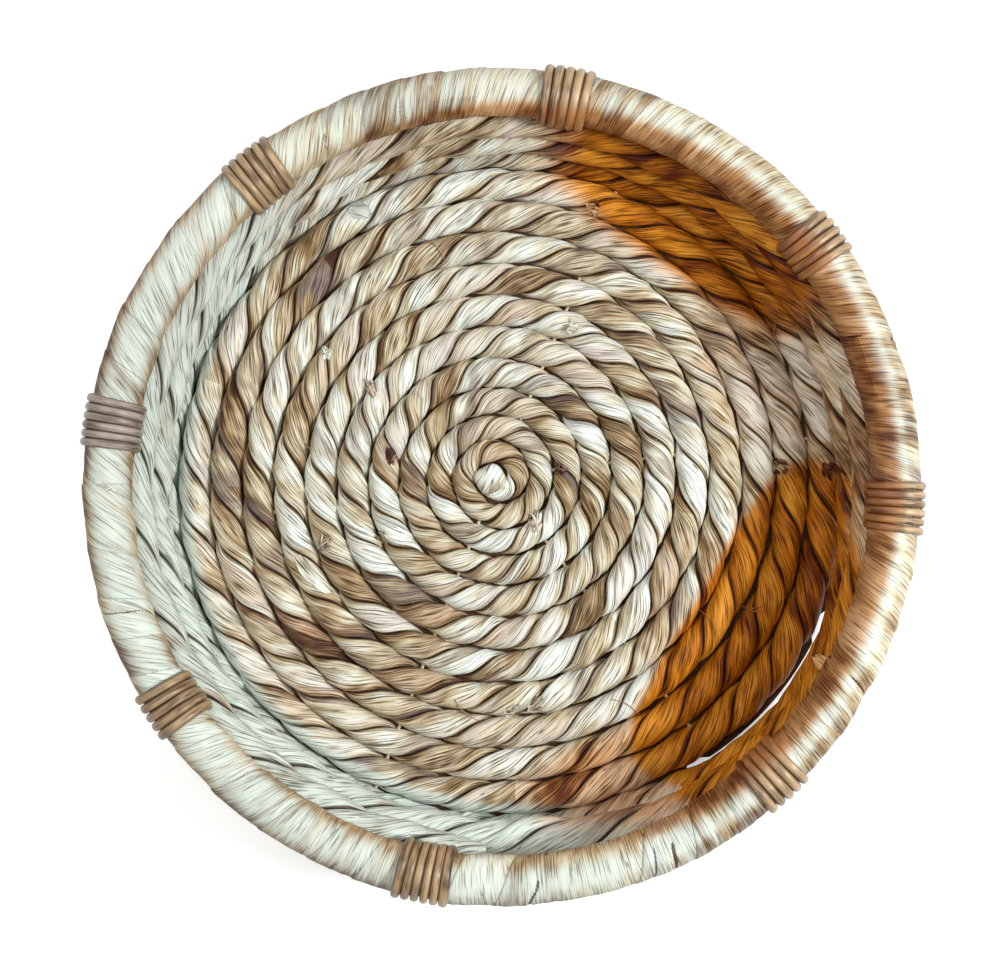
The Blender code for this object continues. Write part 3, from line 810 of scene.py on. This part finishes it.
def new_material(name):
    """An empty material, its tree and its Principled shader."""
    made = bpy.data.materials.new(name)
    made.use_nodes = True
    return made, made.node_tree, made.node_tree.nodes["Principled BSDF"]


def coat(shader, base, height, strength, distance, roughness):
    """Give a shader its colour, its relief and its roughness."""
    bump = first(shader.id_data, "ShaderNodeBump", {
        "Height": height, "Strength": strength, "Distance": distance})
    feed(shader, {"Base Color": base, "Normal": bump, "Roughness": roughness})


def streaks(across, along, width, run, detail, seed):
    """Noise drawn out along the leaf: fine across it, long along it."""
    tree = tree_of(across)
    place = first(tree, "ShaderNodeCombineXYZ", {
        "X": across * (1 / width), "Y": along * (1 / run) + seed})
    return first(tree, "ShaderNodeTexNoise", {
        "Vector": place, "Scale": 1.0, "Detail": detail, "Roughness": 0.55})


def between(value, low, high):
    """A value spread from low and high to 0 and 1, smoothly."""
    return first(tree_of(value), "ShaderNodeMapRange", {
        "Value": value, "From Min": low, "From Max": high}, interpolation_type="SMOOTHSTEP")


def spread(value, low, high):
    """A value from 0 to 1 spread evenly from low to high."""
    return first(tree_of(value), "ShaderNodeMapRange", {
        "Value": value, "To Min": low, "To Max": high})


def mixed(part, one, other):
    """Two colours mixed."""
    made = tree_of(part, one, other).nodes.new("ShaderNodeMix")
    made.data_type = "RGBA"
    feed(made, {0: part, 6: one, 7: other})
    return Signal(made.outputs[2])


def ramp(value, *stops):
    """A colour read from stops."""
    made = tree_of(value).nodes.new("ShaderNodeValToRGB")
    feed(made, {"Fac": value})
    while len(made.color_ramp.elements) < len(stops):
        made.color_ramp.elements.new(0.5)
    for element, (position, shade) in zip(made.color_ramp.elements, stops):
        element.position = position
        element.color = (*shade, 1.0)
    return Signal(made.outputs[0])


def map_of(tree, name):
    """The two lengths of a UV map that the mesh carries."""
    flat = first(tree, "ShaderNodeUVMap", uv_map=name)
    return list(outputs(tree, "ShaderNodeSeparateXYZ", {"Vector": flat}).values())[:2]


def colour_of(tree, name):
    """The four numbers of a colour that the mesh carries."""
    held = outputs(tree, "ShaderNodeVertexColor", layer_name=name)
    parts = outputs(tree, "ShaderNodeSeparateColor", {"Color": held["Color"]})
    return *parts.values(), held["Alpha"]


def luck(one, other):
    """Three settled random numbers for each leaf and each of its lengths."""
    tree = tree_of(one)
    place = first(tree, "ShaderNodeCombineXYZ", {"X": one, "Y": other})
    found = outputs(tree, "ShaderNodeTexWhiteNoise", {"Vector": place}, noise_dimensions="3D")
    return outputs(tree, "ShaderNodeSeparateColor", {"Color": found["Color"]}).values()


def directly_seen(tree):
    """1 for the camera's own rays and those that metal and glass send on, 0 for plain light."""
    path = outputs(tree, "ShaderNodeLightPath")
    through = maths("MAXIMUM", path["Is Glossy Ray"], path["Is Transmission Ray"])
    return maths("MAXIMUM", path["Is Camera Ray"], through)


def leaf_material(name, bright=0.0, seed=0.0, strength=1.0, lap=0.06, lines=1.0):
    """Dried leaf: fibres along it and streaks of age, with painted shade in its grooves and at its
    laps.

    The tray's patches of painted shade and light, and its pale and pink leaf, go into its colour
    too.
    """
    colours = bpy.context.scene.rope_tray_leaf
    made, tree, shader = new_material(name)
    across, along = map_of(tree, "leaf")
    lane = map_of(tree, "lap")[0]
    painted_shade, pale, pink, lit = colour_of(tree, "leaf_cast")
    depth, lasting, lot, second_lot = colour_of(tree, "leaf_depth")
    leaf = maths("FLOOR", lane)
    start, _, _ = luck(leaf, seed)
    run = maths("FLOOR", along * 8.0 + start * 9.0)
    tone, hue, chance = luck(leaf, run + (seed + 0.5))
    stain, broad, fibre, fine, crease = [
        streaks(across, along, width, reach, detail, seed + own)
        for width, reach, detail, own in (STAIN, BROAD, FIBRE, FINE, CREASE)]

    # Age, from dark to pale: lower towards the groove as painted shade, higher in the lit patch as
    # painted light and lower on the shaded side as painted shade
    age = 0.5 + bright - 0.5 * strength * sum(AGE_SHARES)
    for part, weight in zip((tone, lot, stain, broad, fibre, fine), AGE_SHARES):
        age = part * (weight * strength) + age
    age = age - between(broad * 0.5 + depth, 0.9, 1.4) * 0.34
    age = age + lit * 0.16 - painted_shade * 0.06
    base = ramp(age, (0.0, colours.maroon), (0.15, colours.brown), (0.36, colours.tan),
                (0.58, colours.straw), (0.82, colours.cream))

    # Pink and grey casts
    hue = second_lot * 0.65 + hue * 0.35
    pinkish = maths("MAXIMUM", between(hue, 0.68, 0.82), pink * between(hue, 0.25, 0.6))
    pinkish = pinkish * between(stain, 0.36, 0.6) * 0.65
    base = mixed(pinkish, base, mixed(0.62, base, colours.pink))
    greyish = between(hue, 0.34, 0.2) * between(stain, 0.6, 0.44) * 0.65
    base = mixed(greyish, base, mixed(0.7, base, colours.grey))

    # The wall's pale leaf, partly painted light, the rim's painted highlight, and the painted shade
    # of the shaded side
    pale_and_highlight = between((broad - 0.5) * 1.2 + pale, 0.1, 0.85) * maths("MINIMUM", pale * 4.0, 0.85)
    base = mixed(pale_and_highlight, base, mixed(between(age, -0.2, 0.36), colours.tan, colours.pale))
    shaded = ramp(age, (0.08, colours.deepest_painted_shade), (0.46, colours.painted_shade),
                  (0.88, colours.palest_painted_shade))
    base = mixed(painted_shade, base, shaded)

    # Dark lines: splits and creases, and painted shade along the edges of laps and in the groove
    # between the strands
    split = between(fine, 0.45, 0.33) * 0.95
    crease = between(abs(crease - 0.5), CREASE_HALF, CREASE_HALF / 4) * between(broad, 0.58, 0.42)
    edge = between(lane - leaf, lap, lap / 5) * between(chance, 0.05, 0.45) * lasting
    dark = maths("MAXIMUM", maths("MAXIMUM", split, crease), edge) * lines
    base = mixed(dark * 0.8, base, colours.groove)
    groove = between(fibre * 0.1 + depth, 0.93, 1.04) * (0.45 + 0.45 * min(lines, 1.0))
    base = mixed(groove, base, colours.groove)
    height = fibre * 0.6 + fine * 0.6 - dark * 0.35
    coat(shader, base, height, 0.8 * strength, 0.0008, spread(fibre, 0.38, 0.58))
    shader.inputs["Specular IOR Level"].default_value = 0.18
    return made


def cane_material(name, common, darkness):
    """Cane: long streaks, worn pale in places, with a dull sheen.

    Each turn is painted darker towards its edges and on the hoop's shaded side, as shade.
    """
    colours = bpy.context.scene.rope_tray_leaf
    dark = [darkness * part for part in colours.brown]
    made, tree, shader = new_material(name)
    across, along = map_of(tree, "cane")
    edge, tone, shade, _ = colour_of(tree, "cane_edge")
    long = streaks(across, along, 0.0006, 0.03, 3.0, 0.0)
    broad = streaks(across, along, 0.003, 0.016, 2.0, 5.0)
    age = tone * 0.18 + long * 0.64 + broad * 0.72
    base = ramp(age, (0.56, dark), (0.78, common), (0.98, [1.5 * part for part in common]))
    # Painted shade: darker towards each turn's edges, where it meets the next, and in the hoop's
    # warm shade
    base = mixed(between(edge, 0.45, 1.0) * 0.75, base, dark)
    base = mixed(shade, base, ramp(age, (0.56, colours.deepest_painted_shade), (1.0, colours.painted_shade)))
    coat(shader, base, long, 0.5, 0.0004, spread(long, 0.26, 0.46))
    return made


def grain_material(name, light, dark, width, roughness, metallic=0.0):
    """A plain finish with a fine grain, for the pieces inside."""
    made, tree, shader = new_material(name)
    place = outputs(tree, "ShaderNodeTexCoord")["Object"]
    grain = first(tree, "ShaderNodeTexNoise", {"Vector": place, "Scale": 1 / width, "Detail": 4.0})
    coat(shader, ramp(grain, (0.3, dark), (0.7, light)), grain, 0.3, width / 4, roughness)
    shader.inputs["Metallic"].default_value = metallic
    return made


def finish(piece, slot, *nodes):
    """Fix a finished piece to the tray in place of the nodes that it stands for."""
    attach(piece, "root")
    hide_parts(*nodes)


class RopeTrayStageMaker(bpy.types.Operator):
    """Set up the camera, the lamps and the floor"""
    bl_idname = "rope_tray.stage"
    bl_label = "Stage"

    def execute(self, context):
        stage = context.scene.rope_tray_stage
        context.scene.view_settings.view_transform = "Standard"
        camera = linked("camera", bpy.data.cameras.new("camera"))
        camera.data.lens = stage.lens
        camera.data.sensor_width = 36.0
        camera.data.clip_start = 0.01
        camera.location = stage.eye
        back = (Vector(stage.eye) - Vector(stage.aim)).normalized()
        right = Vector((0, 1, 0)).cross(back).normalized()
        camera.rotation_euler = Matrix((right, back.cross(right), back)).transposed().to_euler()
        context.scene.camera = camera
        for name, (stand, size, glow) in LAMPS.items():
            lamp = bpy.data.lights.new(name, "AREA")
            lamp.shape = "DISK"
            lamp.size = size
            lamp.energy = getattr(stage, name)
            lamp.color = glow
            holder = linked(name, lamp)
            holder.location = stand
            holder.rotation_euler = (-Vector(stand)).to_track_quat("-Z", "Y").to_euler()
        self.sky(context, stage)
        self.ground(stage)
        return {"FINISHED"}

    def sky(self, context, stage):
        """Even light from all around, white where the camera sees it."""
        world = bpy.data.worlds.new("sky")
        world.use_nodes = True
        context.scene.world = world
        seen = directly_seen(world.node_tree)
        feed(world.node_tree.nodes["Background"], {
            "Strength": spread(seen, stage.sky, 1.0),
            "Color": mixed(seen, SKY_TINT, (1.0, 1.0, 1.0))})

    def ground(self, stage):
        """A pale floor that keeps the tray's shadow."""
        mesh = bpy.data.meshes.new("floor")
        square = (-1, -1), (1, -1), (1, 1), (-1, 1)
        corners = [(x * FLOOR_HALF, y * FLOOR_HALF, 0) for x, y in square]
        mesh.from_pydata(corners, [], [(0, 1, 2, 3)])
        floor = linked("floor", mesh)
        floor.location.z = -FLOOR_DROP
        made, tree, shader = new_material("floor")
        seen = directly_seen(tree)
        feed(shader, {
            "Base Color": mixed(seen, FLOOR_FOR_LIGHT, stage.floor), "Roughness": 0.9,
            "Emission Color": (1, 1, 1), "Emission Strength": seen * FLOOR_GLOW})
        mesh.materials.append(made)


def lay_strands(rope, path, tree):
    """The two strands of a rope, dressed in leaf."""
    looks = STRANDS[rope]
    seed, width, slope, lip = looks["leaves"]
    for index, letter in enumerate("ab"):
        name = f"{rope}_strand_{letter}"
        skin = leaf_material(name + "_leaf", looks["bright"], looks["seed"] + 3.0 * index,
                             lap=looks["lap"], lines=looks["lines"])
        half_turn = index * math.pi
        piece = grown(name, path_mesh(path), tree, {
            "Half Turn": half_turn, "Groove Depth": looks["groove"], "Material": skin})
        dress_strand(piece.data, path, half_turn, seed + 10 * index, width, slope, lip)
        finish(piece, f"{rope}_rope", f"{rope}_coil")


class RopeTrayFloorMaker(bpy.types.Operator):
    """Make the two strands of the floor's rope, the bed between its turns and its eye"""
    bl_idname = "rope_tray.floor"
    bl_label = "Floor Rope"

    def execute(self, context):
        tree = strand_tree()
        lay_strands("floor", floor_path(context.scene.rope_tray_floor), tree)
        self.bed(context.scene, tree)
        self.eye()
        return {"FINISHED"}

    def bed(self, scene, tree):
        """A dark filler between the turns, standing for the shade in the gaps."""
        colours = scene.rope_tray_leaf
        skin = grain_material("waste_fibre", colours.brown, colours.groove, 0.0012, 0.9)
        path = bed_path(scene.rope_tray_floor, scene.rope_tray_wall)
        piece = grown("floor_bed", path_mesh(path), tree, {"Points Across": 8, "Material": skin})
        places = places_of(piece.data)
        outermost = smoothed(0.148, 0.154, polar(places)[1])
        top = BED_TOP + (BED_OUTER_TOP - BED_TOP) * outermost
        places[:, 2] = np.clip(places[:, 2], GROUND_GAP, top)
        move(piece.data, places)
        finish(piece, "floor_rope", "floor_coil")

    def eye(self):
        """The rope's folded end, tucked into the middle of the coil."""
        turn = math.tau * np.arange(EYE_SIDES) / EYE_SIDES
        blunt = np.abs(np.cos(turn)) ** EYE_SQUARENESS + np.abs(np.sin(turn)) ** EYE_SQUARENESS
        corners = []
        for step in np.linspace(0, 1, EYE_RINGS)[:-1]:
            wide = EYE_HALF * math.sin(step * math.pi) ** 0.62 * blunt ** (-1 / EYE_SQUARENESS)
            ring = (wide * np.cos(turn + 0.5), 0.95 * wide * np.sin(turn + 0.5))
            corners += [(x, y, math.cos(step * math.pi)) for x, y in zip(*ring)]
        corners.append((0.0, 0.0, -1.0))
        last = (EYE_RINGS - 2) * EYE_SIDES
        pairs = [(side, (side + 1) % EYE_SIDES) for side in range(EYE_SIDES)]
        faces = [(start + side, start + EYE_SIDES + side, start + EYE_SIDES + after, start + after)
                 for start in range(0, last, EYE_SIDES) for side, after in pairs]
        faces += [(last + side, len(corners) - 1, last + after) for side, after in pairs]
        mesh = bpy.data.meshes.new("eye_nub")
        mesh.from_pydata(corners, [], faces)
        places = places_of(mesh)
        lean = places[:, 0] * 0.55 + places[:, 1] * 0.83
        across = -places[:, 0] * 0.83 + places[:, 1] * 0.55
        lane = across / EYE_LEAF + 60.35
        height = EYE_HEIGHT + np.where(places[:, 2] > 0, EYE_UP, EYE_DOWN) * places[:, 2]
        lap = smoothed(0.0, 0.15, lane - np.floor(lane))
        height += 0.0005 * lap - 0.0003 + 0.0012 * lean / EYE_HALF
        places[:, 2] = height
        places[:, :2] += EYE_PLACE
        move(mesh, places)
        give_leaf(mesh, (0, 0.35, 0, 0), 0.9 * smoothed(0.3, -0.6, height), 1, (0.6, 0.5),
                  across - 0.15 * lean, lean, lane)
        mesh.materials.append(leaf_material("eye_nub_leaf", 0.12, 9.0))
        finish(linked("eye_nub", mesh), "floor_rope", "floor_coil")


class RopeTrayWallMaker(bpy.types.Operator):
    """Make the two strands of the wall's rope"""
    bl_idname = "rope_tray.wall"
    bl_label = "Wall Rope"

    def execute(self, context):
        lay_strands("wall", wall_path(context.scene.rope_tray_wall), strand_tree())
        return {"FINISHED"}


class RopeTrayLooseMaker(bpy.types.Operator):
    """Make the cut ends, the loose leaf and the stray fibres, each seated on the rope"""
    bl_idname = "rope_tray.loose"
    bl_label = "Loose Leaf"

    def execute(self, context):
        context.view_layer.update()
        self.ropes = [bpy.data.objects[f"{rope}_strand_{letter}"]
                      for rope in STRANDS for letter in "ab"]
        skin = leaf_material("loose_leaf", 0.1, 60.0)
        parts = []
        for index, (x, y, degrees, size, tone, hue) in enumerate(TUFTS):
            for stub in range(TUFT_ENDS):
                lots = [scattered(index, stub, key) for key in range(1, 7)]
                turn, far, aside, back, up, light = lots
                way = math.radians(degrees + TUFT_FAN * (turn - 0.5))
                reach = size * (0.5 + 0.7 * far)
                start = np.array([x, y]) + TUFT_SPREAD * (np.array([aside, back]) - 0.5)
                end = start + reach * np.array([math.cos(way), math.sin(way)])
                rise = 0.0004 + 0.0034 * up ** 2
                light = tone + 1.4 * light - 0.6
                parts.append(self.strip(start, end, TUFT_WIDTH, rise, 0.4, light, hue))
        self.join("leaf_ends", parts, skin)
        self.join("loose_leaves", [
            self.strip(np.array(ends[:2]), np.array(ends[2:]), width, 0.0004, 1.0, tone, hue)
            for *ends, width, tone, hue in TAILS], skin)
        self.join("stray_fibres", [
            self.strip(np.array(ends[:2]), np.array(ends[2:]), 0.0004, 0.0006, 1.5, 0.1, 1.0, bow)
            for ends, bow in zip(HAIRS, (0.002, -0.002) * len(HAIRS))], skin)
        return {"FINISHED"}

    def seat(self, x, y):
        """The height of the rope at a place."""
        found = [rope.ray_cast((x, y, 0.2), (0, 0, -1)) for rope in self.ropes]
        return max([where.z for hit, where, _, _ in found if hit], default=0.004)

    def strip(self, start, end, width, rise, taper, tone, hue, bow=0.0):
        """A thin leaf laid over the rope from one place to another, pointed at its end."""
        reach = np.linalg.norm(end - start)
        ahead = (end - start) / reach
        aside = np.array([-ahead[1], ahead[0]])
        steps = np.linspace(0, 1, max(6, int(reach / STRIP_STEP)))
        shares = np.linspace(-1, 1, 5)
        halves = width / 2 * (1 - steps ** 2) ** (0.5 * taper)
        halves = halves * smoothed(-0.35 / taper, 0.45, steps) + 0.00008
        line = start + steps[:, None] * reach * ahead
        line += (bow * np.sin(steps * math.pi))[:, None] * aside
        across = halves[:, None] * shares
        flat = line[:, None, :] + across[:, :, None] * aside
        height = np.array([[self.seat(*spot) for spot in row] for row in flat])
        for _ in range(3):
            height[1:] = np.maximum(height[1:], height[:-1] - STRIP_STEEPEST)
            height[:-1] = np.maximum(height[:-1], height[1:] - STRIP_STEEPEST)
        height = np.maximum(height, height.mean(axis=1, keepdims=True) - 0.0008)
        height += rise * steps[:, None] ** 1.5 + 0.00035 + 0.0003 * (1 - shares ** 2)
        top = np.concatenate([flat, height[:, :, None]], axis=2).reshape(-1, 3)
        numbers = np.stack([(across + tone).ravel(), np.repeat(steps * reach, 5) + 10 * hue,
                            np.full(len(top), tone), np.full(len(top), hue)])
        under = top - (0, 0, STRIP_THICKNESS)
        return np.concatenate([top, under]), self.faces(len(steps)), np.tile(numbers, 2)

    def faces(self, count):
        """The faces of a strip: its two sides and the edge all round."""
        layer, last = 5 * count, 5 * (count - 1)
        faces = []
        for start in range(0, last, 5):
            for near in range(start, start + 4):
                quad = (near, near + 5, near + 6, near + 1)
                faces += [quad[::-1], tuple(layer + corner for corner in quad)]
            for edge, way in ((start, -1), (start + 4, 1)):
                faces.append((edge, edge + 5, layer + edge + 5, layer + edge)[::way])
        for start, way in ((0, 1), (last, -1)):
            faces += [(edge, edge + 1, layer + edge + 1, layer + edge)[::way]
                      for edge in range(start, start + 4)]
        return faces

    def join(self, name, parts, skin):
        """All the strips of a kind as one piece."""
        faces, start = [], 0
        for corners, quads, _ in parts:
            faces += [tuple(start + corner for corner in quad) for quad in quads]
            start += len(corners)
        places = np.concatenate([corners for corners, _, _ in parts])
        across, along, *lots = np.concatenate([numbers for _, _, numbers in parts], axis=1)
        mesh = bpy.data.meshes.new(name)
        mesh.from_pydata(places.tolist(), [], faces)
        lane = np.full(len(places), 0.5)
        # Where it lies on the shaded side, the loose leaf takes that side's painted shade
        give_leaf(mesh, (0.8 * patch("painted_shade", places), 0, 0, 0), 0, 0, lots, across, along, lane)
        mesh.materials.append(skin)
        finish(linked(name, mesh), "floor_rope", "floor_coil")


class RopeTrayWrapMaker(bpy.types.Operator):
    """Make the hoop's leaf wrapping"""
    bl_idname = "rope_tray.wrap"
    bl_label = "Rim Wrapping"

    def execute(self, context):
        skin = leaf_material("rim_wrapping_leaf", -0.04, 40.0, 0.7, 0.03, 0.7)
        seed = bpy.data.meshes.new("seed")
        piece = grown("rim_wrapping", seed, hoop_tree(), {"Material": skin})
        self.dress(piece.data, context.scene.rope_tray_hoop)
        finish(piece, "leaf_wrapping", "rim_wrap")
        return {"FINISHED"}

    def dress(self, mesh, sizes):
        """Overlapping bands, each wound over the edge of the next, some of them split."""
        places = places_of(mesh)
        angle, turn = about_hoop(places)
        inward = turn * HOOP_TUBE
        bands = round(math.tau * HOOP_RADIUS / sizes.band_width)
        width = math.tau * HOOP_RADIUS / bands
        slant = angle * HOOP_RADIUS - inward * width / (math.tau * HOOP_TUBE)
        lane = slant / width + 0.3 * np.sin(3 * angle + 1.0) + 0.25 * np.sin(7 * angle)
        band = np.floor(lane)
        part = lane - band
        band = band % bands
        proud = sizes.band_lip * (0.35 + scattered(band, 5))
        rise = smoothed(0.0, 0.06, part) * (1 - part) ** 0.8
        folds = BAND_FOLD * wave(slant - 0.25 * inward, BAND_FOLD_SIZE, 3)
        folds += BAND_LUMP * wave(slant - 0.3 * inward, BAND_LUMP_SIZE, 9)
        crack = self.crack(angle, inward)
        lift = proud * rise + folds - SPLIT_DEPTH * crack
        flat = np.cos(turn)
        out = np.stack([flat * np.cos(angle), flat * np.sin(angle), np.sin(turn)], axis=1)
        places = places + out * lift[:, None]
        move(mesh, places)

        # Painted highlight along the top, made weaker and the leaf darker where the lamp is strong,
        # to offset it; painted warm shade inside and painted shade outside
        brightest = math.radians(80) - math.radians(32) * np.cos(angle)
        facing = smoothed(-0.2, 0.8, np.cos(angle)) * smoothed(1.7, 1.1, turn)
        pale_and_highlight = RIM_HIGHLIGHT * smoothed(0.1, 1.0, np.cos(turn - brightest)) * (1 - 0.65 * facing)
        pale_and_highlight = pale_and_highlight * (1 - 0.35 * smoothed(0.5, 1.0, np.sin(angle)))
        ragged = 0.06 * wave(slant, 0.008, 11) + 0.04 * wave(slant, 0.0015, 12)
        shade = rim_shade(places, ragged)
        outer = smoothed(1.5, 0.5, turn + ragged) * smoothed(-0.7, 0.4, turn)
        outer = outer * smoothed(-0.5, 0.6, np.cos(angle - math.radians(205)))
        tone = scattered(band, 31) - OUTER_SHADE_DARKENS * outer - SHADE_DULLS * shade
        tone = tone - LAMP_SIDE_DARKENS * facing
        across = 0.2 * scattered(band, 21) - 0.1 + 0.45 * smoothed(-0.1, -0.8, np.cos(angle))
        across = across - 0.35 * smoothed(0.3, 0.9, -np.sin(angle))
        # The splits are painted darker as shade; the warm shade and the pale highlight go in as
        # painted shade and light
        give_leaf(mesh, (shade, pale_and_highlight, 0, 0), 1.9 * crack, 1, (tone, scattered(band, 33)),
                  slant - inward * across, inward, lane)

    def crack(self, angle, inward):
        """How far open the wrapping has split at each point."""
        crack = np.zeros(len(angle))
        for degrees, opened in WRAP_SPLITS:
            near = np.radians(past(angle, degrees)) * HOOP_RADIUS - 0.3 * inward
            near = (near + 0.0012 * wave(inward, 0.008, degrees)) / SPLIT_WIDTH
            ends = smoothed(-0.9, 0.3, wave(inward, 0.012, degrees + 2))
            crack = np.maximum(crack, opened * np.exp(-near * near) * ends)
        return crack


class RopeTrayLashingMaker(bpy.types.Operator):
    """Make the eight cane lashings"""
    bl_idname = "rope_tray.lashings"
    bl_label = "Lashings"

    def execute(self, context):
        sizes = context.scene.rope_tray_hoop
        colours = context.scene.rope_tray_leaf
        tree = cane_tree()
        skin = cane_material("cane_skin", colours.cane, 0.5)
        grey = cane_material("grey_cane_skin", colours.grey_cane, 0.7)
        for index, (degrees, turns, pitch) in enumerate(LASHINGS):
            cane = sizes.cane_share * pitch
            piece = grown(f"cane_{index + 1}", bpy.data.meshes.new("seed"), tree, {
                "Angle": math.radians(degrees), "Turns": turns, "Bite": sizes.bite, "Pitch": pitch,
                "Loop Radius": HOOP_TUBE + 0.5 * cane, "Cane Radius": cane,
                "Material": grey if index == GREYEST_LASHING else skin})
            self.flatten(piece.data, math.radians(degrees), index)
            finish(piece, "cane", f"lashing_{index + 1}")
        return {"FINISHED"}

    def flatten(self, mesh, angle, index):
        """Press each turn of cane flat against the wrapping, as its pull does."""
        middle = numbers_of(mesh.attributes["middle"].data, "vector", 3)
        off = places_of(mesh) - middle
        along = np.array([-math.sin(angle), math.cos(angle), 0.0])
        side = off @ along
        wound = carried(mesh, "wound")
        flat = CANE_FLAT * (1 + CANE_UNEVEN * wave(wound, 0.7, 90 + index))
        places = middle + off * flat[:, None] + (side * CANE_SPREAD)[:, None] * along
        move(mesh, places)
        tone = scattered(np.floor(wound + 0.5), index)
        edge = np.abs(side) / np.abs(side).max()
        # Painted shade: how near each point is to its turn's edge, and the hoop's warm shade
        give_colour(mesh, "cane_edge", (edge, tone, 1.2 * rim_shade(places)))
        give_map(mesh, "cane", side, wound * CANE_TURN + index)
        drop(mesh, "middle", "wound")
        mesh.shade_smooth()


class RopeTrayInsideMaker(bpy.types.Operator):
    """Give the pieces inside the tray their finishes"""
    bl_idname = "rope_tray.inside"
    bl_label = "Inner Pieces"

    def execute(self, context):
        colours = context.scene.rope_tray_leaf
        straw, tan = colours.straw, colours.tan
        steel, dull_steel = (0.5, 0.5, 0.48), (0.3, 0.29, 0.28)
        finishes = {
            "rim_core": grain_material("rattan_core_grain", straw, tan, 0.004, 0.6),
            "scarf_brad": grain_material("brad_steel_grain", steel, dull_steel, 0.002, 0.4, 1.0),
            "floor_stitch": grain_material("twine_fibre", straw, tan, 0.001, 0.8),
            "wall_stitch": grain_material("wall_twine_fibre", straw, tan, 0.001, 0.8)}
        for name, piece in frame["nodes"].items():
            for start, skin in finishes.items():
                if name.startswith(start):
                    piece.data.materials.clear()
                    piece.data.materials.append(skin)
        return {"FINISHED"}


class RopeTrayPanel(bpy.types.Panel):
    """The tray's makers"""
    bl_idname = "VIEW3D_PT_rope_tray"
    bl_label = "Rope Tray"
    bl_space_type = "VIEW_3D"
    bl_region_type = "UI"
    bl_category = "Rope Tray"

    def draw(self, context):
        for maker in MAKERS:
            self.layout.operator(maker.bl_idname)


GROUPS = {
    "rope_tray_floor": RopeTrayFloor,
    "rope_tray_wall": RopeTrayWall,
    "rope_tray_hoop": RopeTrayHoop,
    "rope_tray_leaf": RopeTrayLeaf,
    "rope_tray_stage": RopeTrayStage,
}
MAKERS = (RopeTrayStageMaker, RopeTrayFloorMaker, RopeTrayWallMaker, RopeTrayLooseMaker,
          RopeTrayWrapMaker, RopeTrayLashingMaker, RopeTrayInsideMaker)


def register():
    """Register the add-on's classes."""
    for made in (*GROUPS.values(), *MAKERS, RopeTrayPanel):
        bpy.utils.register_class(made)
    for name, group in GROUPS.items():
        setattr(bpy.types.Scene, name, PointerProperty(type=group))


def unregister():
    """Remove the add-on's classes."""
    for name in GROUPS:
        delattr(bpy.types.Scene, name)
    for made in (RopeTrayPanel, *reversed(MAKERS), *GROUPS.values()):
        bpy.utils.unregister_class(made)


def main():
    """Make the whole tray on its stage."""
    register()
    for maker in MAKERS:
        group, call = maker.bl_idname.split(".")
        getattr(getattr(bpy.ops, group), call)()


if __name__ == "__main__":
    main()
